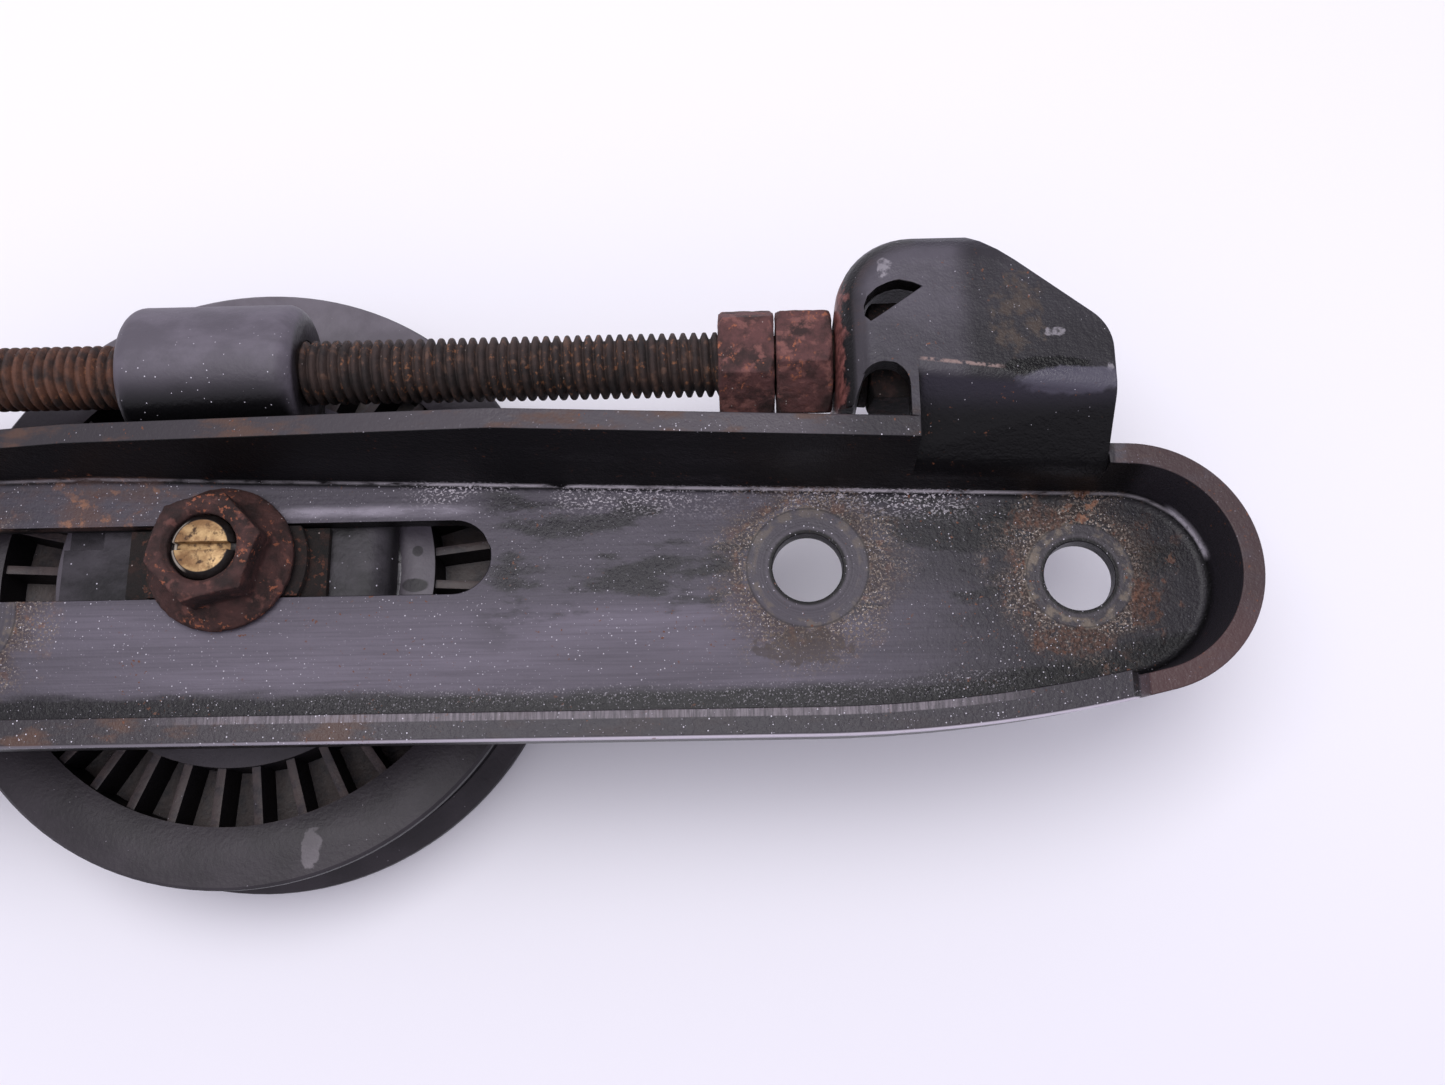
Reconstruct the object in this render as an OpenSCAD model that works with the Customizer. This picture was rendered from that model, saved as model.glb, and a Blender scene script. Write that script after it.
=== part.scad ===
// Belt tensioner idler: a pressed steel bracket with a long slot, a slider that a jack screw
// pulls along the slot, and a flanged ribbed plastic idler pulley on a ball bearing.
// Origin: middle of the two engine bolts, on the bracket's mounting face.
// +X runs along the bracket towards its round bolt end, +Z along the pulley axis to the open side.

/* [Bracket] */
// Thickness of the pressed sheet
sheet = 3.5; // [2.5:0.1:4.5]
// Distance between the two engine bolt holes
bolt_pitch = 46; // [42:0.5:52]
// Angle of the line through the two bolt holes
bolt_tilt = -2.9; // [-4:0.1:0]
// Diameter of every bolt hole
bolt_hole_d = 12; // [9:0.5:14]
// Radius of the round bolt end, at the mounting face
end_r = 18.9; // [17:0.1:20]
// How far the round end's centre lies beyond the bolt pattern's centre
end_reach = 28.8; // [27:0.1:31]
// Radius of the far round end, at the mounting face
tail_r = 20; // [17:0.5:22]
// How far the far bolt hole lies behind the bolt pattern's centre
tail_reach = 211; // [208:0.5:230]
// Distance from the bolt line to the upper wall
upper_wall_y = 22.35; // [21:0.05:22.6]
// Distance from the bolt line to the lower wall
lower_wall_y = 27.75; // [25:0.05:32]
// Slope of the upper wall towards the bolt end
upper_wall_slope = 2.02; // [0.5:0.01:2.5]
// Lean of the walls from upright
wall_draft = 6; // [2:0.5:7]
// Height of the upper wall at its highest point
upper_wall_h = 26.5; // [22:0.5:28]
// Height of the upper wall at the far end
upper_wall_low_h = 14.5; // [12:0.5:18]
// Height of the lower wall
lower_wall_h = 21.5; // [18:0.5:26]
// Height of the wall round the bolt end
end_wall_h = 16.5; // [12:0.5:18]
// Length of the slot from end to end
slot_l = 116; // [100:1:120]
// Width of the slot
slot_w = 13; // [12:0.1:14]
// Distance from the bolt pattern's centre back to the near end of the slot
slot_start = 77.3; // [72:0.1:80]

/* [Ear] */
// Height of the ear plate's upper face above the mounting face
ear_h = 25.5; // [24.5:0.1:28]
// Outer bend radius where the ear turns down into its end wall
ear_bend_r = 7; // [5:0.1:8]
// How far the ear's end wall hangs below the mounting face
ear_drop = 2; // [0:0.5:4]
// How far the ear reaches out beyond the jack screw's axis
ear_reach = 18.1; // [16:0.1:22]
// Distance from the bolt pattern's centre back to the ear's end wall
ear_wall_x = 17.9; // [16:0.1:20]

/* [Jack screw] */
// Major diameter of the screw and stud threads (7/16 inch)
thread_d = 11.11; // [10:0.01:12]
// Pitch of the thread (14 turns an inch)
thread_pitch = 1.814; // [1.5:0.001:2]
// Distance from the bolt line out to the screw's axis
screw_y = 35.65; // [35:0.05:40]
// Height of the screw's axis above the mounting face
screw_z = 10.5; // [9:0.1:11.5]
// How far the screw's free end lies behind the pulley axis
screw_tail = 72; // [68:1:84]
// Width across the flats of all the nuts (11/16 inch)
nut_af = 17.46; // [16:0.01:19]
// Height of a jam nut
jam_nut_h = 9.7; // [8:0.1:11]
// Outer diameter of the barrel nut
barrel_d = 23.6; // [22:0.1:23.6]
// Length of the barrel nut
barrel_l = 30; // [26:0.5:34]

/* [Slider and axle] */
// Distance from the bolt pattern's centre back to the pulley axis as pictured
axle_x = 123.6; // [118:0.1:130]
// Offset of the pulley axis and the slot from the bolt line
axle_y = 4.15; // [3:0.05:5]
// Thickness of the slider plate
slider_t = 5.3; // [4:0.1:5.4]
// How far the slider plate reaches behind the axle
slider_back = 30; // [26:0.5:32]
// How far the slider plate reaches ahead of the axle
slider_front = 28; // [24:0.5:30]
// Length of the guide block that runs in the slot
guide_l = 35; // [30:0.5:40]
// Radius of the guide block's round shoulder
guide_shoulder_r = 14.4; // [13.5:0.1:15]
// Diameter of the lock nut's flange
nut_flange_d = 25.6; // [23:0.1:28]
// Height of the lock nut
lock_nut_h = 10.5; // [9:0.1:12]
// Width of the screwdriver slot in the stud's end
driver_slot_w = 1.4; // [1:0.1:2]

/* [Pulley] */
// Outer diameter of the two flanges
pulley_d = 110; // [106:1:112]
// Width of the pulley over its flanges
pulley_w = 25; // [24.5:0.1:28]
// Gap between the mounting face and the pulley's near face
pulley_gap = 7.2; // [7:0.1:8]
// Diameter of the tread that the belt runs on
tread_d = 102; // [98:1:103]
// Thickness of each flange
flange_t = 2.3; // [1.8:0.1:3]
// Diameter where the ribs meet the rim
rib_outer_d = 88.8; // [85:0.1:92]
// Diameter where the ribs meet the hub
rib_inner_d = 68.6; // [64:0.1:72]
// Thickness of a rib
rib_t = 1.5; // [1:0.1:2.5]
// Number of ribs
rib_count = 36; // [24:1:40]
// Depth of the pockets between the ribs
pocket_depth = 9; // [6:0.5:10]

/* [Bearing] */
// Outer diameter of the ball bearing
bearing_od = 52; // [50:1:53]
// Bore of the ball bearing
bearing_bore = 20; // [18:1:21]
// Width of the ball bearing
bearing_w = 15; // [14:0.5:15]
// Diameter of a ball
ball_d = 9.4; // [8:0.1:9.6]
// Number of balls
ball_count = 7; // [6:1:8]

/* [Hidden] */
$fn = 72;
// clearances
slide_gap = 0.3;
run_gap = 0.08;
ball_gap = 0.06;
eps = 0.02;

// bracket
web_top = sheet;
draft = tan(wall_draft);
bend_r = 5.5;
bend_steps = 5;
tail_y = -2.7;
end_y = -2.75;
wall_knee_x = -axle_x - 23;
lower_bow_angle = 13.5;
lower_bow_r = (lower_wall_y + end_y - end_r * cos(lower_bow_angle)) / (1 - cos(lower_bow_angle));
lower_bow_x = end_reach - (lower_bow_r - end_r) * sin(lower_bow_angle);
slot_r = slot_w / 2;
slot_near_x = -slot_start;
slot_far_x = slot_near_x - slot_l;
wall_peak_x = -axle_x + 50;
step_x = 27.5;
step_run = 2;
past = 80;

// ear
ear_x = -ear_wall_x;
ear_edge_x = 26.3;
ear_fold_x = -5.2;
ear_fold_y = 28.1;
ear_fold_slope = 0.13;
ear_knee_z = 13.5;
ear_wall_z = 9;
ear_lap = 3;
knee_r = 9;
fold_r = 4;
ear_top_y = screw_y + ear_reach;
ear_slant = 50;
ear_corner_r = 13;
ear_inner_corner_r = 10.5;
ear_tip_r = 8;
ear_tip_y = screw_y - 4.6;
ear_brow_r = 12.5;
ear_brow_x = ear_x + 16.3;
ear_skirt_x = -4;
cap_low_y = 6;
cap_reach = 36;
relief_r = 4;
relief_lip = 1.4;

// jack screw
thread_r = thread_d / 2;
thread_depth = 0.6 * thread_pitch;
thread_flat = thread_pitch / 8;
screw_bore_r = thread_r + run_gap;
washer_t = 1.8;
washer_r = 8;
inner_nut_h = 9.5;
point = 1.4;
screw_inner_end = ear_x + sheet + slide_gap + washer_t + inner_nut_h + 2 * thread_pitch;
screw_outer_end = -axle_x - screw_tail;
jam_face = ear_x - slide_gap;
nut_r = nut_af / 2 / cos(30);
barrel_r = barrel_d / 2;
barrel_round = 3;

// slider and axle
guide_w = slot_w - 2 * slide_gap;
slider_top = -slide_gap;
slider_bottom = slider_top - slider_t;
guide_top = web_top - slide_gap;
guide_step_z = 1.3;
slider_w = 40;
slider_shift = 3;
saddle_l = 14;
saddle_lap = 2.2;
notch_l = 7;
notch_d = 2;
notch_w = 3;
slider_round = 4.8;
arm_w = 26;
nut_seat = web_top + slide_gap;
nut_top = nut_seat + lock_nut_h;
stud_top = nut_top - 0.5;
flange_h = 1.9;
cone_h = 2.4;

// pulley and bearing, from the near face down
pulley_top = -pulley_gap;
pulley_bottom = pulley_top - pulley_w;
pulley_r = pulley_d / 2;
tread_r = tread_d / 2;
insert_wall = 2.2;
insert_r = bearing_od / 2 + insert_wall;
insert_lip = 1.5;
insert_top = pulley_top - 1.5;
bearing_top = insert_top - insert_lip;
bearing_bottom = bearing_top - bearing_w;
bearing_mid = (bearing_top + bearing_bottom) / 2;
ring_t = 1.3;
ring_gap = 0.1;
insert_bottom = bearing_bottom - ring_gap - ring_t - 1.4;
rib_drop = 1.2;
rib_phase = -3;
lock_nut_phase = 14;
race_pitch_r = (bearing_od + bearing_bore) / 4;
race_land = 2.5;
outer_race_in = race_pitch_r + race_land;
inner_race_out = race_pitch_r - race_land;
ball_r = ball_d / 2;
cage_half_t = 0.9;
cage_half_h = ball_r + 0.9;
seal_t = 0.9;
seal_inset = 0.4;
shield_t = 0.8;
shield_r = bearing_od / 2 + 1;
head_h = 5.6;
head_flange_r = 13;
head_top = bearing_bottom;
sleeve_top = slider_bottom;
sleeve_lip_r = bearing_bore / 2 + 2.5;
sleeve_lip_t = 1.2;

// ---- shared shapes ----

function arc(cx, cy, r, from, to, steps) =
    [for (i = [0 : steps]) let (a = from + (to - from) * i / steps) [cx + r * cos(a), cy + r * sin(a)]];

// upper wall's line at the mounting face
function upper_line(x) = upper_wall_y - max(0, x - wall_knee_x) * tan(upper_wall_slope);

// the bracket's plan outline, grown by d
function plan(d) = concat(
    arc(end_reach, end_y, end_r + d, lower_bow_angle - 90, 90 - upper_wall_slope, 44),
    [[wall_knee_x, upper_wall_y + d], [wall_knee_x - 20, upper_wall_y - 0.2 + d]],
    arc(-tail_reach, tail_y, tail_r + d, 110, 250, 36),
    [[-tail_reach + 45, -lower_wall_y - d]],
    arc(lower_bow_x, lower_bow_r - lower_wall_y, lower_bow_r + d, -90, -90 + lower_bow_angle, 10));

// one thin layer of the plan at height z
module layer(z, d) {
    translate([0, 0, z])
        linear_extrude(height = eps)
            polygon(plan(d));
}

// layers that round the corner between the web and the walls, from height z up
module bend_layers(z, r, d) {
    for (i = [0 : bend_steps])
        let (a = (90 - wall_draft) * i / bend_steps, rise = r * (1 - cos(a)))
            layer(z + rise, d + draft * (z + r) - r * (1 - sin(a)));
}

module ring(r_out, r_in, z_low, z_high) {
    translate([0, 0, z_low])
        difference() {
            cylinder(h = z_high - z_low, r = r_out);
            translate([0, 0, -1])
                cylinder(h = z_high - z_low + 2, r = r_in);
        }
}

// everything on the pulley axis
module on_axle() {
    translate([-axle_x, axle_y, 0]) children();
}

// a cylinder along +X from x0, on the screw's axis
module on_screw(x0) {
    translate([x0, screw_y, screw_z])
        rotate([0, 90, 0])
            children();
}

// a plain hexagon nut with chamfered corners, standing on z = 0
module hex_nut(h, bore) {
    difference() {
        intersection() {
            cylinder(h = h, r = nut_r, $fn = 6);
            rotate_extrude()
                polygon([[0, 0], [nut_af / 2 - 0.2, 0], [nut_r, 0.9], [nut_r, h - 0.9],
                    [nut_af / 2 - 0.2, h], [0, h]]);
        }
        translate([0, 0, -1])
            cylinder(h = h + 2, r = bore);
    }
}

// ---- bracket ----

module tray() {
    difference() {
        hull() {
            bend_layers(0, bend_r, 0);
            layer(upper_wall_h, draft * upper_wall_h);
        }
        hull() {
            bend_layers(web_top, bend_r - sheet, -sheet);
            layer(upper_wall_h + 1, -sheet + draft * (upper_wall_h + 1));
        }
    }
}

// takes the walls down to their heights along the bracket
module wall_tops() {
    high = upper_wall_h + 2;
    upper = [[-tail_reach - past, upper_wall_low_h], [-axle_x - 60, upper_wall_low_h],
        [wall_peak_x, upper_wall_h], [ear_fold_x, upper_wall_h - 1], [ear_fold_x, ear_wall_z],
        [ear_edge_x, ear_wall_z], [ear_edge_x, end_wall_h],
        [past, end_wall_h], [past, high], [-tail_reach - past, high]];
    lower = [[-tail_reach - past, upper_wall_low_h], [-tail_reach + 5, upper_wall_low_h],
        [-tail_reach + 35, lower_wall_h], [step_x - step_run, lower_wall_h],
        [step_x + step_run, end_wall_h], [past, end_wall_h], [past, high], [-tail_reach - past, high]];
    translate([0, past, 0])
        rotate([90, 0, 0])
            linear_extrude(height = past)
                polygon(upper);
    translate([0, eps, 0])
        rotate([90, 0, 0])
            linear_extrude(height = past)
                polygon(lower);
}

// where the fold between the flared wall and the ear's plate lies
function fold_y(x) = ear_fold_y - (x - ear_fold_x) * ear_fold_slope;

// plan of the ear's plate, from the fold out round its edge and in past the corner notch
function ear_plan() = concat(
    [[ear_fold_x, fold_y(ear_fold_x) + ear_lap - eps], [ear_edge_x, fold_y(ear_edge_x) + ear_lap - eps]],
    arc(ear_edge_x - ear_tip_r, ear_tip_y, ear_tip_r, 0, ear_slant, 8),
    arc(ear_brow_x, ear_top_y - ear_brow_r, ear_brow_r, ear_slant, 88, 6),
    arc(ear_x + ear_corner_r, ear_top_y - ear_corner_r, ear_corner_r, 90, 180, 14),
    [[ear_x, screw_y - 13], [ear_x + 2.2, screw_y - 13], [ear_x + 4.2, screw_y - 8]],
    arc(ear_fold_x - relief_lip - relief_r, fold_y(ear_fold_x) + 1.4 - relief_r, relief_r, 150, 0, 10),
    [[ear_fold_x - relief_lip, upper_line(ear_fold_x) + draft * ear_h - 1],
        [ear_fold_x, upper_line(ear_fold_x) + draft * ear_h - 1]]);

// section of the wall that flares out to the ear's plate, square to X at x, its faces moved out by s
module flare_section(x, s, reach) {
    knee_y = upper_line(x) - sheet + draft * ear_wall_z;
    fold = fold_y(x);
    lean = atan((fold - knee_y) / (ear_h - ear_knee_z));
    translate([x, 0, 0])
        rotate([90, 0, 90])
            linear_extrude(height = eps)
                polygon(concat(
                    [[knee_y + s, ear_wall_z - reach]],
                    arc(knee_y + knee_r, ear_knee_z - knee_r * tan(lean / 2), knee_r - s, 180, 180 - lean, 6),
                    arc(fold + fold_r * tan(45 - lean / 2), ear_h - fold_r, fold_r - s, 180 - lean, 90, 5),
                    [[fold + ear_lap + reach, ear_h - s], [fold + ear_lap + reach, ear_wall_z - reach]]));
}

module flared_wall() {
    difference() {
        hull() {
            flare_section(ear_fold_x, 0, 0);
            flare_section(ear_edge_x - eps, 0, 0);
        }
        hull() {
            flare_section(ear_fold_x - 1, sheet, 1);
            flare_section(ear_edge_x + 1, sheet, 1);
        }
    }
}

// outline that the ear is drawn from, its corner rounded by c and every edge moved in by d
function cap_plan(c, d) = concat(
    [[ear_x + d, cap_low_y + d], [cap_reach - d, cap_low_y + d], [cap_reach - d, ear_top_y - d]],
    arc(ear_x + c, ear_top_y - c, c - d, 90, 180, 12));

module cap_layer(z, c, d) {
    translate([0, 0, z])
        linear_extrude(height = eps)
            polygon(cap_plan(c, d));
}

// cup with its top at z and its top edges rounded by r, its side moved in by d
module cap_solid(z, r, c, d, bottom) {
    hull() {
        for (i = [0 : bend_steps])
            let (a = 90 * i / bend_steps)
                cap_layer(z - eps - r * (1 - cos(a)), c, d + r * (1 - sin(a)));
        cap_layer(bottom, c, d - eps);
    }
}

// plate with the wall that takes the jack screw's push, drawn round the outer corner
module ear_cap() {
    plate_low = ear_h - sheet;
    end_low_y = screw_y - 12;
    corner = 6;
    intersection() {
        difference() {
            cap_solid(ear_h, ear_bend_r, ear_corner_r, 0, -ear_drop);
            cap_solid(plate_low, ear_bend_r - sheet, ear_inner_corner_r, sheet, -ear_drop - 1);
        }
        // how far the wall runs along the outer edge
        translate([0, past, 0])
            rotate([90, 0, 0])
                linear_extrude(height = past)
                    polygon([[ear_x - 1, -ear_drop - 1], [ear_skirt_x, -ear_drop - 1], [ear_skirt_x + 4, 2],
                        [ear_skirt_x + 8, 12], [ear_skirt_x + 13, plate_low], [cap_reach, plate_low],
                        [cap_reach, ear_h + 1], [ear_x - 1, ear_h + 1]]);
        // the end wall's lower corner
        translate([ear_x - 1, 0, 0])
            rotate([90, 0, 90])
                linear_extrude(height = past)
                    polygon(concat(
                        [[cap_low_y, ear_h + 1], [cap_low_y, plate_low], [end_low_y, plate_low]],
                        arc(end_low_y + corner, corner - ear_drop, corner, 180, 270, 8),
                        [[past, -ear_drop], [past, ear_h + 1]]));
        translate([0, 0, -ear_drop])
            linear_extrude(height = ear_h + ear_drop)
                polygon(ear_plan());
    }
}

module ear() {
    difference() {
        union() {
            ear_cap();
            flared_wall();
        }
        // leaf-shaped opening where the corner was drawn
        translate([ear_x + 9, ear_top_y - 13.4, ear_h - ear_bend_r - sheet])
            rotate([0, 0, 22])
                linear_extrude(height = ear_bend_r + sheet + 1)
                    polygon([[-5.2, -0.9], [-4.6, 0.8], [-3.4, 2.1], [-1.5, 2.8], [0.6, 2.9], [2.4, 2.5],
                        [4.2, 1.3], [5.4, 0.1], [-4.7, -2.2]]);
        // hole for the jack screw
        on_screw(ear_x - 2)
            cylinder(h = sheet + 4, r = screw_bore_r);
    }
}

module slot_cut() {
    for (x = [slot_near_x - slot_r, slot_far_x + slot_r])
        translate([x, axle_y, -1])
            cylinder(h = sheet + 2, r = slot_r);
    translate([slot_far_x + slot_r, axle_y - slot_r, -1])
        cube([slot_l - slot_w, slot_w, sheet + 2]);
}

module bolt_holes() {
    for (side = [-1, 1])
        rotate([0, 0, bolt_tilt])
            translate([side * bolt_pitch / 2, 0, -1])
                cylinder(h = sheet + 2, r = bolt_hole_d / 2);
    translate([-tail_reach, tail_y, -1])
        cylinder(h = sheet + 2, r = bolt_hole_d / 2);
}

module bracket() {
    color([0.13, 0.12, 0.14])
        union() {
            difference() {
                tray();
                wall_tops();
                slot_cut();
                bolt_holes();
            }
            ear();
        }
}

// ---- slider ----

// flat plate under the slot, with an arm out to the barrel
module slider_plate() {
    color([0.2, 0.2, 0.22])
        difference() {
            on_axle()
                union() {
                    // plate whose near end is rounded over
                    intersection() {
                        translate([-slider_back, slider_shift - slider_w / 2, slider_bottom])
                            cube([slider_back + slider_front, slider_w, slider_t]);
                        translate([0, slider_w, 0])
                            rotate([90, 0, 0])
                                linear_extrude(height = 2 * slider_w)
                                    polygon(concat(
                                        [[-slider_back, slider_bottom], [slider_front, slider_bottom]],
                                        arc(slider_front - slider_round, slider_top - slider_round,
                                            slider_round, 0, 90, 8),
                                        [[-slider_back, slider_top]]));
                    }
                    // arm under the wall to the barrel
                    translate([-arm_w / 2, 0, slider_bottom])
                        cube([arm_w, screw_y - axle_y, slider_t]);
                    // saddle that the barrel is welded in
                    translate([-arm_w / 2, screw_y - axle_y - saddle_l / 2, slider_bottom])
                        cube([arm_w, saddle_l, screw_z - barrel_r - slider_bottom + saddle_lap]);
                }
            on_screw(-axle_x - slider_w)
                cylinder(h = 2 * slider_w, r = barrel_r);
            on_axle()
                translate([0, 0, slider_bottom - 1])
                    cylinder(h = slider_t + 2, r = thread_r);
            // notch at the far corner
            on_axle()
                translate([-slider_back - 1, slot_r - notch_w, slider_top - notch_d])
                    cube([notch_l + 1, slider_w, 2 * notch_d]);
        }
}

// steel block that keeps the slider straight in the slot
module slot_guide() {
    color([0.32, 0.19, 0.15])
        on_axle()
            difference() {
                intersection() {
                    translate([-guide_l / 2, -guide_w / 2, slider_top])
                        cube([guide_l, guide_w, guide_top - slider_top]);
                    union() {
                        translate([0, 0, slider_top])
                            cylinder(h = guide_top - slider_top, r = guide_shoulder_r);
                        translate([-guide_l / 2, -guide_w / 2, slider_top])
                            cube([guide_l, guide_w, guide_step_z - slider_top]);
                    }
                }
                translate([0, 0, slider_top - 1])
                    cylinder(h = guide_top - slider_top + 2, r = thread_r);
            }
}

// tube nut that rides on the jack screw
module adjuster_barrel() {
    half = barrel_l / 2;
    color([0.17, 0.17, 0.2])
        on_screw(-axle_x)
            rotate_extrude()
                polygon(concat(
                    [[screw_bore_r, -half], [barrel_r - barrel_round, -half]],
                    arc(barrel_r - barrel_round, barrel_round - half, barrel_round, -90, 0, 8),
                    arc(barrel_r - barrel_round, half - barrel_round, barrel_round, 0, 90, 8),
                    [[screw_bore_r, half]]));
}

// ---- jack screw ----

// outline of a threaded rod from z = 0 to length, cut by grooves one pitch apart
function thread_outline(length) = let (turns = floor((length - 2 * point) / thread_pitch)) concat(
    [[0, 0], [thread_r - point, 0], [thread_r, point]],
    [for (i = [0 : turns - 1]) let (z = point + i * thread_pitch) each [
        [thread_r, z + thread_flat],
        [thread_r - thread_depth, z + thread_pitch / 2 - thread_flat / 2],
        [thread_r - thread_depth, z + thread_pitch / 2 + thread_flat / 2],
        [thread_r, z + thread_pitch - thread_flat]]],
    [[thread_r, length - point], [thread_r - point, length], [0, length]]);

module jack_screw() {
    color([0.25, 0.18, 0.14])
        on_screw(screw_outer_end)
            rotate_extrude()
                polygon(thread_outline(screw_inner_end - screw_outer_end));
}

module jam_nut(x, turn) {
    color([0.33, 0.17, 0.13])
        on_screw(x)
            rotate([0, 0, turn])
                hex_nut(jam_nut_h, thread_r);
}

module jam_nut_inner() {
    jam_nut(jam_face - jam_nut_h, 20);
}

module jam_nut_outer() {
    jam_nut(jam_face - 2 * jam_nut_h, 30);
}

module thrust_washer() {
    color([0.3, 0.2, 0.16])
        on_screw(ear_x + sheet + slide_gap)
            ring(washer_r, thread_r, 0, washer_t);
}

module retaining_nut() {
    color([0.33, 0.17, 0.13])
        on_screw(ear_x + sheet + slide_gap + washer_t)
            hex_nut(inner_nut_h, thread_r);
}

// ---- axle ----

// bolt through the pulley, its slotted end up in the lock nut
module axle_stud() {
    color([0.62, 0.53, 0.32])
        on_axle()
            difference() {
                union() {
                    translate([0, 0, head_top - head_h])
                        cylinder(h = head_h, r = nut_r, $fn = 6);
                    translate([0, 0, head_top - 2])
                        cylinder(h = 2, r = head_flange_r);
                    translate([0, 0, head_top - 1])
                        rotate_extrude()
                            polygon([[0, 0], [thread_r, 0], [thread_r, stud_top - head_top],
                                [thread_r - 1, stud_top - head_top + 1], [0, stud_top - head_top + 1]]);
                }
                translate([-thread_d, -driver_slot_w / 2, stud_top - 1.6])
                    cube([2 * thread_d, driver_slot_w, 4]);
            }
}

module lock_nut() {
    cone_top = flange_h + cone_h;
    color([0.36, 0.2, 0.16])
        on_axle()
            translate([0, 0, nut_seat])
                rotate([0, 0, lock_nut_phase])
                    difference() {
                        union() {
                            intersection() {
                                cylinder(h = lock_nut_h, r = nut_r, $fn = 6);
                                rotate_extrude()
                                    polygon([[0, 0], [nut_r, 0], [nut_r, lock_nut_h - 0.9],
                                        [nut_af / 2 - 0.2, lock_nut_h], [0, lock_nut_h]]);
                            }
                            rotate_extrude()
                                polygon([[0, 0], [nut_flange_d / 2 - 0.5, 0], [nut_flange_d / 2, 0.5],
                                    [nut_flange_d / 2, flange_h - 0.5], [nut_flange_d / 2 - 0.5, flange_h],
                                    [nut_af / 2, cone_top], [0, cone_top]]);
                        }
                        translate([0, 0, -1])
                            cylinder(h = lock_nut_h + 2, r = thread_r + run_gap);
                        translate([0, 0, lock_nut_h - 1])
                            cylinder(h = 2, r1 = thread_r, r2 = thread_r + 2);
                    }
}

// spacer that fills the bearing's bore round the stud
module axle_sleeve() {
    color([0.5, 0.5, 0.5])
        on_axle()
            union() {
                ring(bearing_bore / 2, thread_r, bearing_bottom, sleeve_top);
                ring(sleeve_lip_r, thread_r, bearing_top, bearing_top + sleeve_lip_t);
            }
}

// dished washer that keeps dirt off the bearing
module dust_shield() {
    bore_r = bearing_bore / 2;
    seat = bearing_top + sleeve_lip_t;
    brim = pulley_top - 0.9;
    color([0.15, 0.15, 0.16])
        on_axle()
            rotate_extrude()
                polygon([[bore_r, seat], [sleeve_lip_r, seat], [bore_r + 5, brim], [shield_r, brim],
                    [shield_r, brim + shield_t], [bore_r + 4.6, brim + shield_t],
                    [sleeve_lip_r - 0.4, seat + shield_t], [bore_r, seat + shield_t]]);
}

// ---- pulley ----

module pulley() {
    mid = (pulley_top + pulley_bottom) / 2;
    web_half = pulley_w / 2 - pocket_depth;
    rim_in = rib_outer_d / 2;
    hub_out = rib_inner_d / 2;
    color([0.16, 0.15, 0.15])
        on_axle()
            union() {
                rotate_extrude($fn = 144)
                    polygon([[insert_r, insert_bottom], [insert_r, pulley_top], [hub_out, pulley_top],
                        [hub_out, mid + web_half], [rim_in, mid + web_half], [rim_in, pulley_top],
                        [pulley_r - 0.5, pulley_top], [pulley_r, pulley_top - 0.5],
                        [pulley_r, pulley_top - flange_t + 0.4],
                        [pulley_r - 0.4, pulley_top - flange_t], [tread_r, pulley_top - flange_t - 0.8],
                        [tread_r, pulley_bottom + flange_t + 0.8], [pulley_r - 0.4, pulley_bottom + flange_t],
                        [pulley_r, pulley_bottom + flange_t - 0.4], [pulley_r, pulley_bottom + 0.5],
                        [pulley_r - 0.5, pulley_bottom], [rim_in, pulley_bottom],
                        [rim_in, mid - web_half], [hub_out, mid - web_half], [hub_out, insert_bottom]]);
                for (i = [0 : rib_count - 1])
                    rotate([0, 0, rib_phase + i * 360 / rib_count])
                        translate([hub_out - 0.5, -rib_t / 2, pulley_bottom + rib_drop])
                            cube([rim_in - hub_out + 1, rib_t, pulley_w - 2 * rib_drop]);
            }
}

// steel sleeve moulded into the hub
module hub_insert() {
    seat = bearing_od / 2;
    color([0.45, 0.44, 0.43])
        on_axle()
            rotate_extrude()
                polygon([[seat - insert_lip, insert_top], [insert_r, insert_top], [insert_r, insert_bottom],
                    [seat, insert_bottom], [seat, bearing_bottom - ring_gap - ring_t],
                    [seat + 1, bearing_bottom - ring_gap - ring_t], [seat + 1, bearing_bottom - ring_gap],
                    [seat, bearing_bottom - ring_gap], [seat, bearing_top],
                    [seat - insert_lip, bearing_top]]);
}

// split ring that holds the bearing in the insert
module retaining_ring() {
    outer = bearing_od / 2 + 1;
    low = bearing_bottom - ring_gap - ring_t;
    color([0.35, 0.35, 0.36])
        on_axle()
            difference() {
                ring(outer, outer - 3.4, low, low + ring_t);
                translate([0, -3, low - 1])
                    cube([outer + 1, 6, ring_t + 2]);
            }
}

// ---- bearing ----

module race(r_in, r_out) {
    difference() {
        ring(r_out, r_in, bearing_bottom, bearing_top);
        rotate_extrude()
            translate([race_pitch_r, bearing_mid])
                circle(r = ball_r + ball_gap);
    }
}

module bearing_outer_race() {
    color([0.6, 0.6, 0.62])
        on_axle() race(outer_race_in, bearing_od / 2);
}

module bearing_inner_race() {
    color([0.6, 0.6, 0.62])
        on_axle() race(bearing_bore / 2, inner_race_out);
}

module ball_places() {
    for (i = [0 : ball_count - 1])
        rotate([0, 0, i * 360 / ball_count])
            translate([race_pitch_r, 0, bearing_mid])
                children();
}

module bearing_balls() {
    color([0.7, 0.7, 0.72])
        on_axle()
            ball_places()
                sphere(r = ball_r);
}

module bearing_cage() {
    color([0.5, 0.42, 0.25])
        on_axle()
            difference() {
                ring(race_pitch_r + cage_half_t, race_pitch_r - cage_half_t,
                    bearing_mid - cage_half_h, bearing_mid + cage_half_h);
                ball_places()
                    rotate([0, 90, 0])
                        cylinder(h = 4 * cage_half_t, r = ball_r + ball_gap, center = true);
            }
}

module bearing_seal(z) {
    color([0.1, 0.1, 0.1])
        on_axle()
            ring(outer_race_in, inner_race_out + slide_gap, z, z + seal_t);
}

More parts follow.
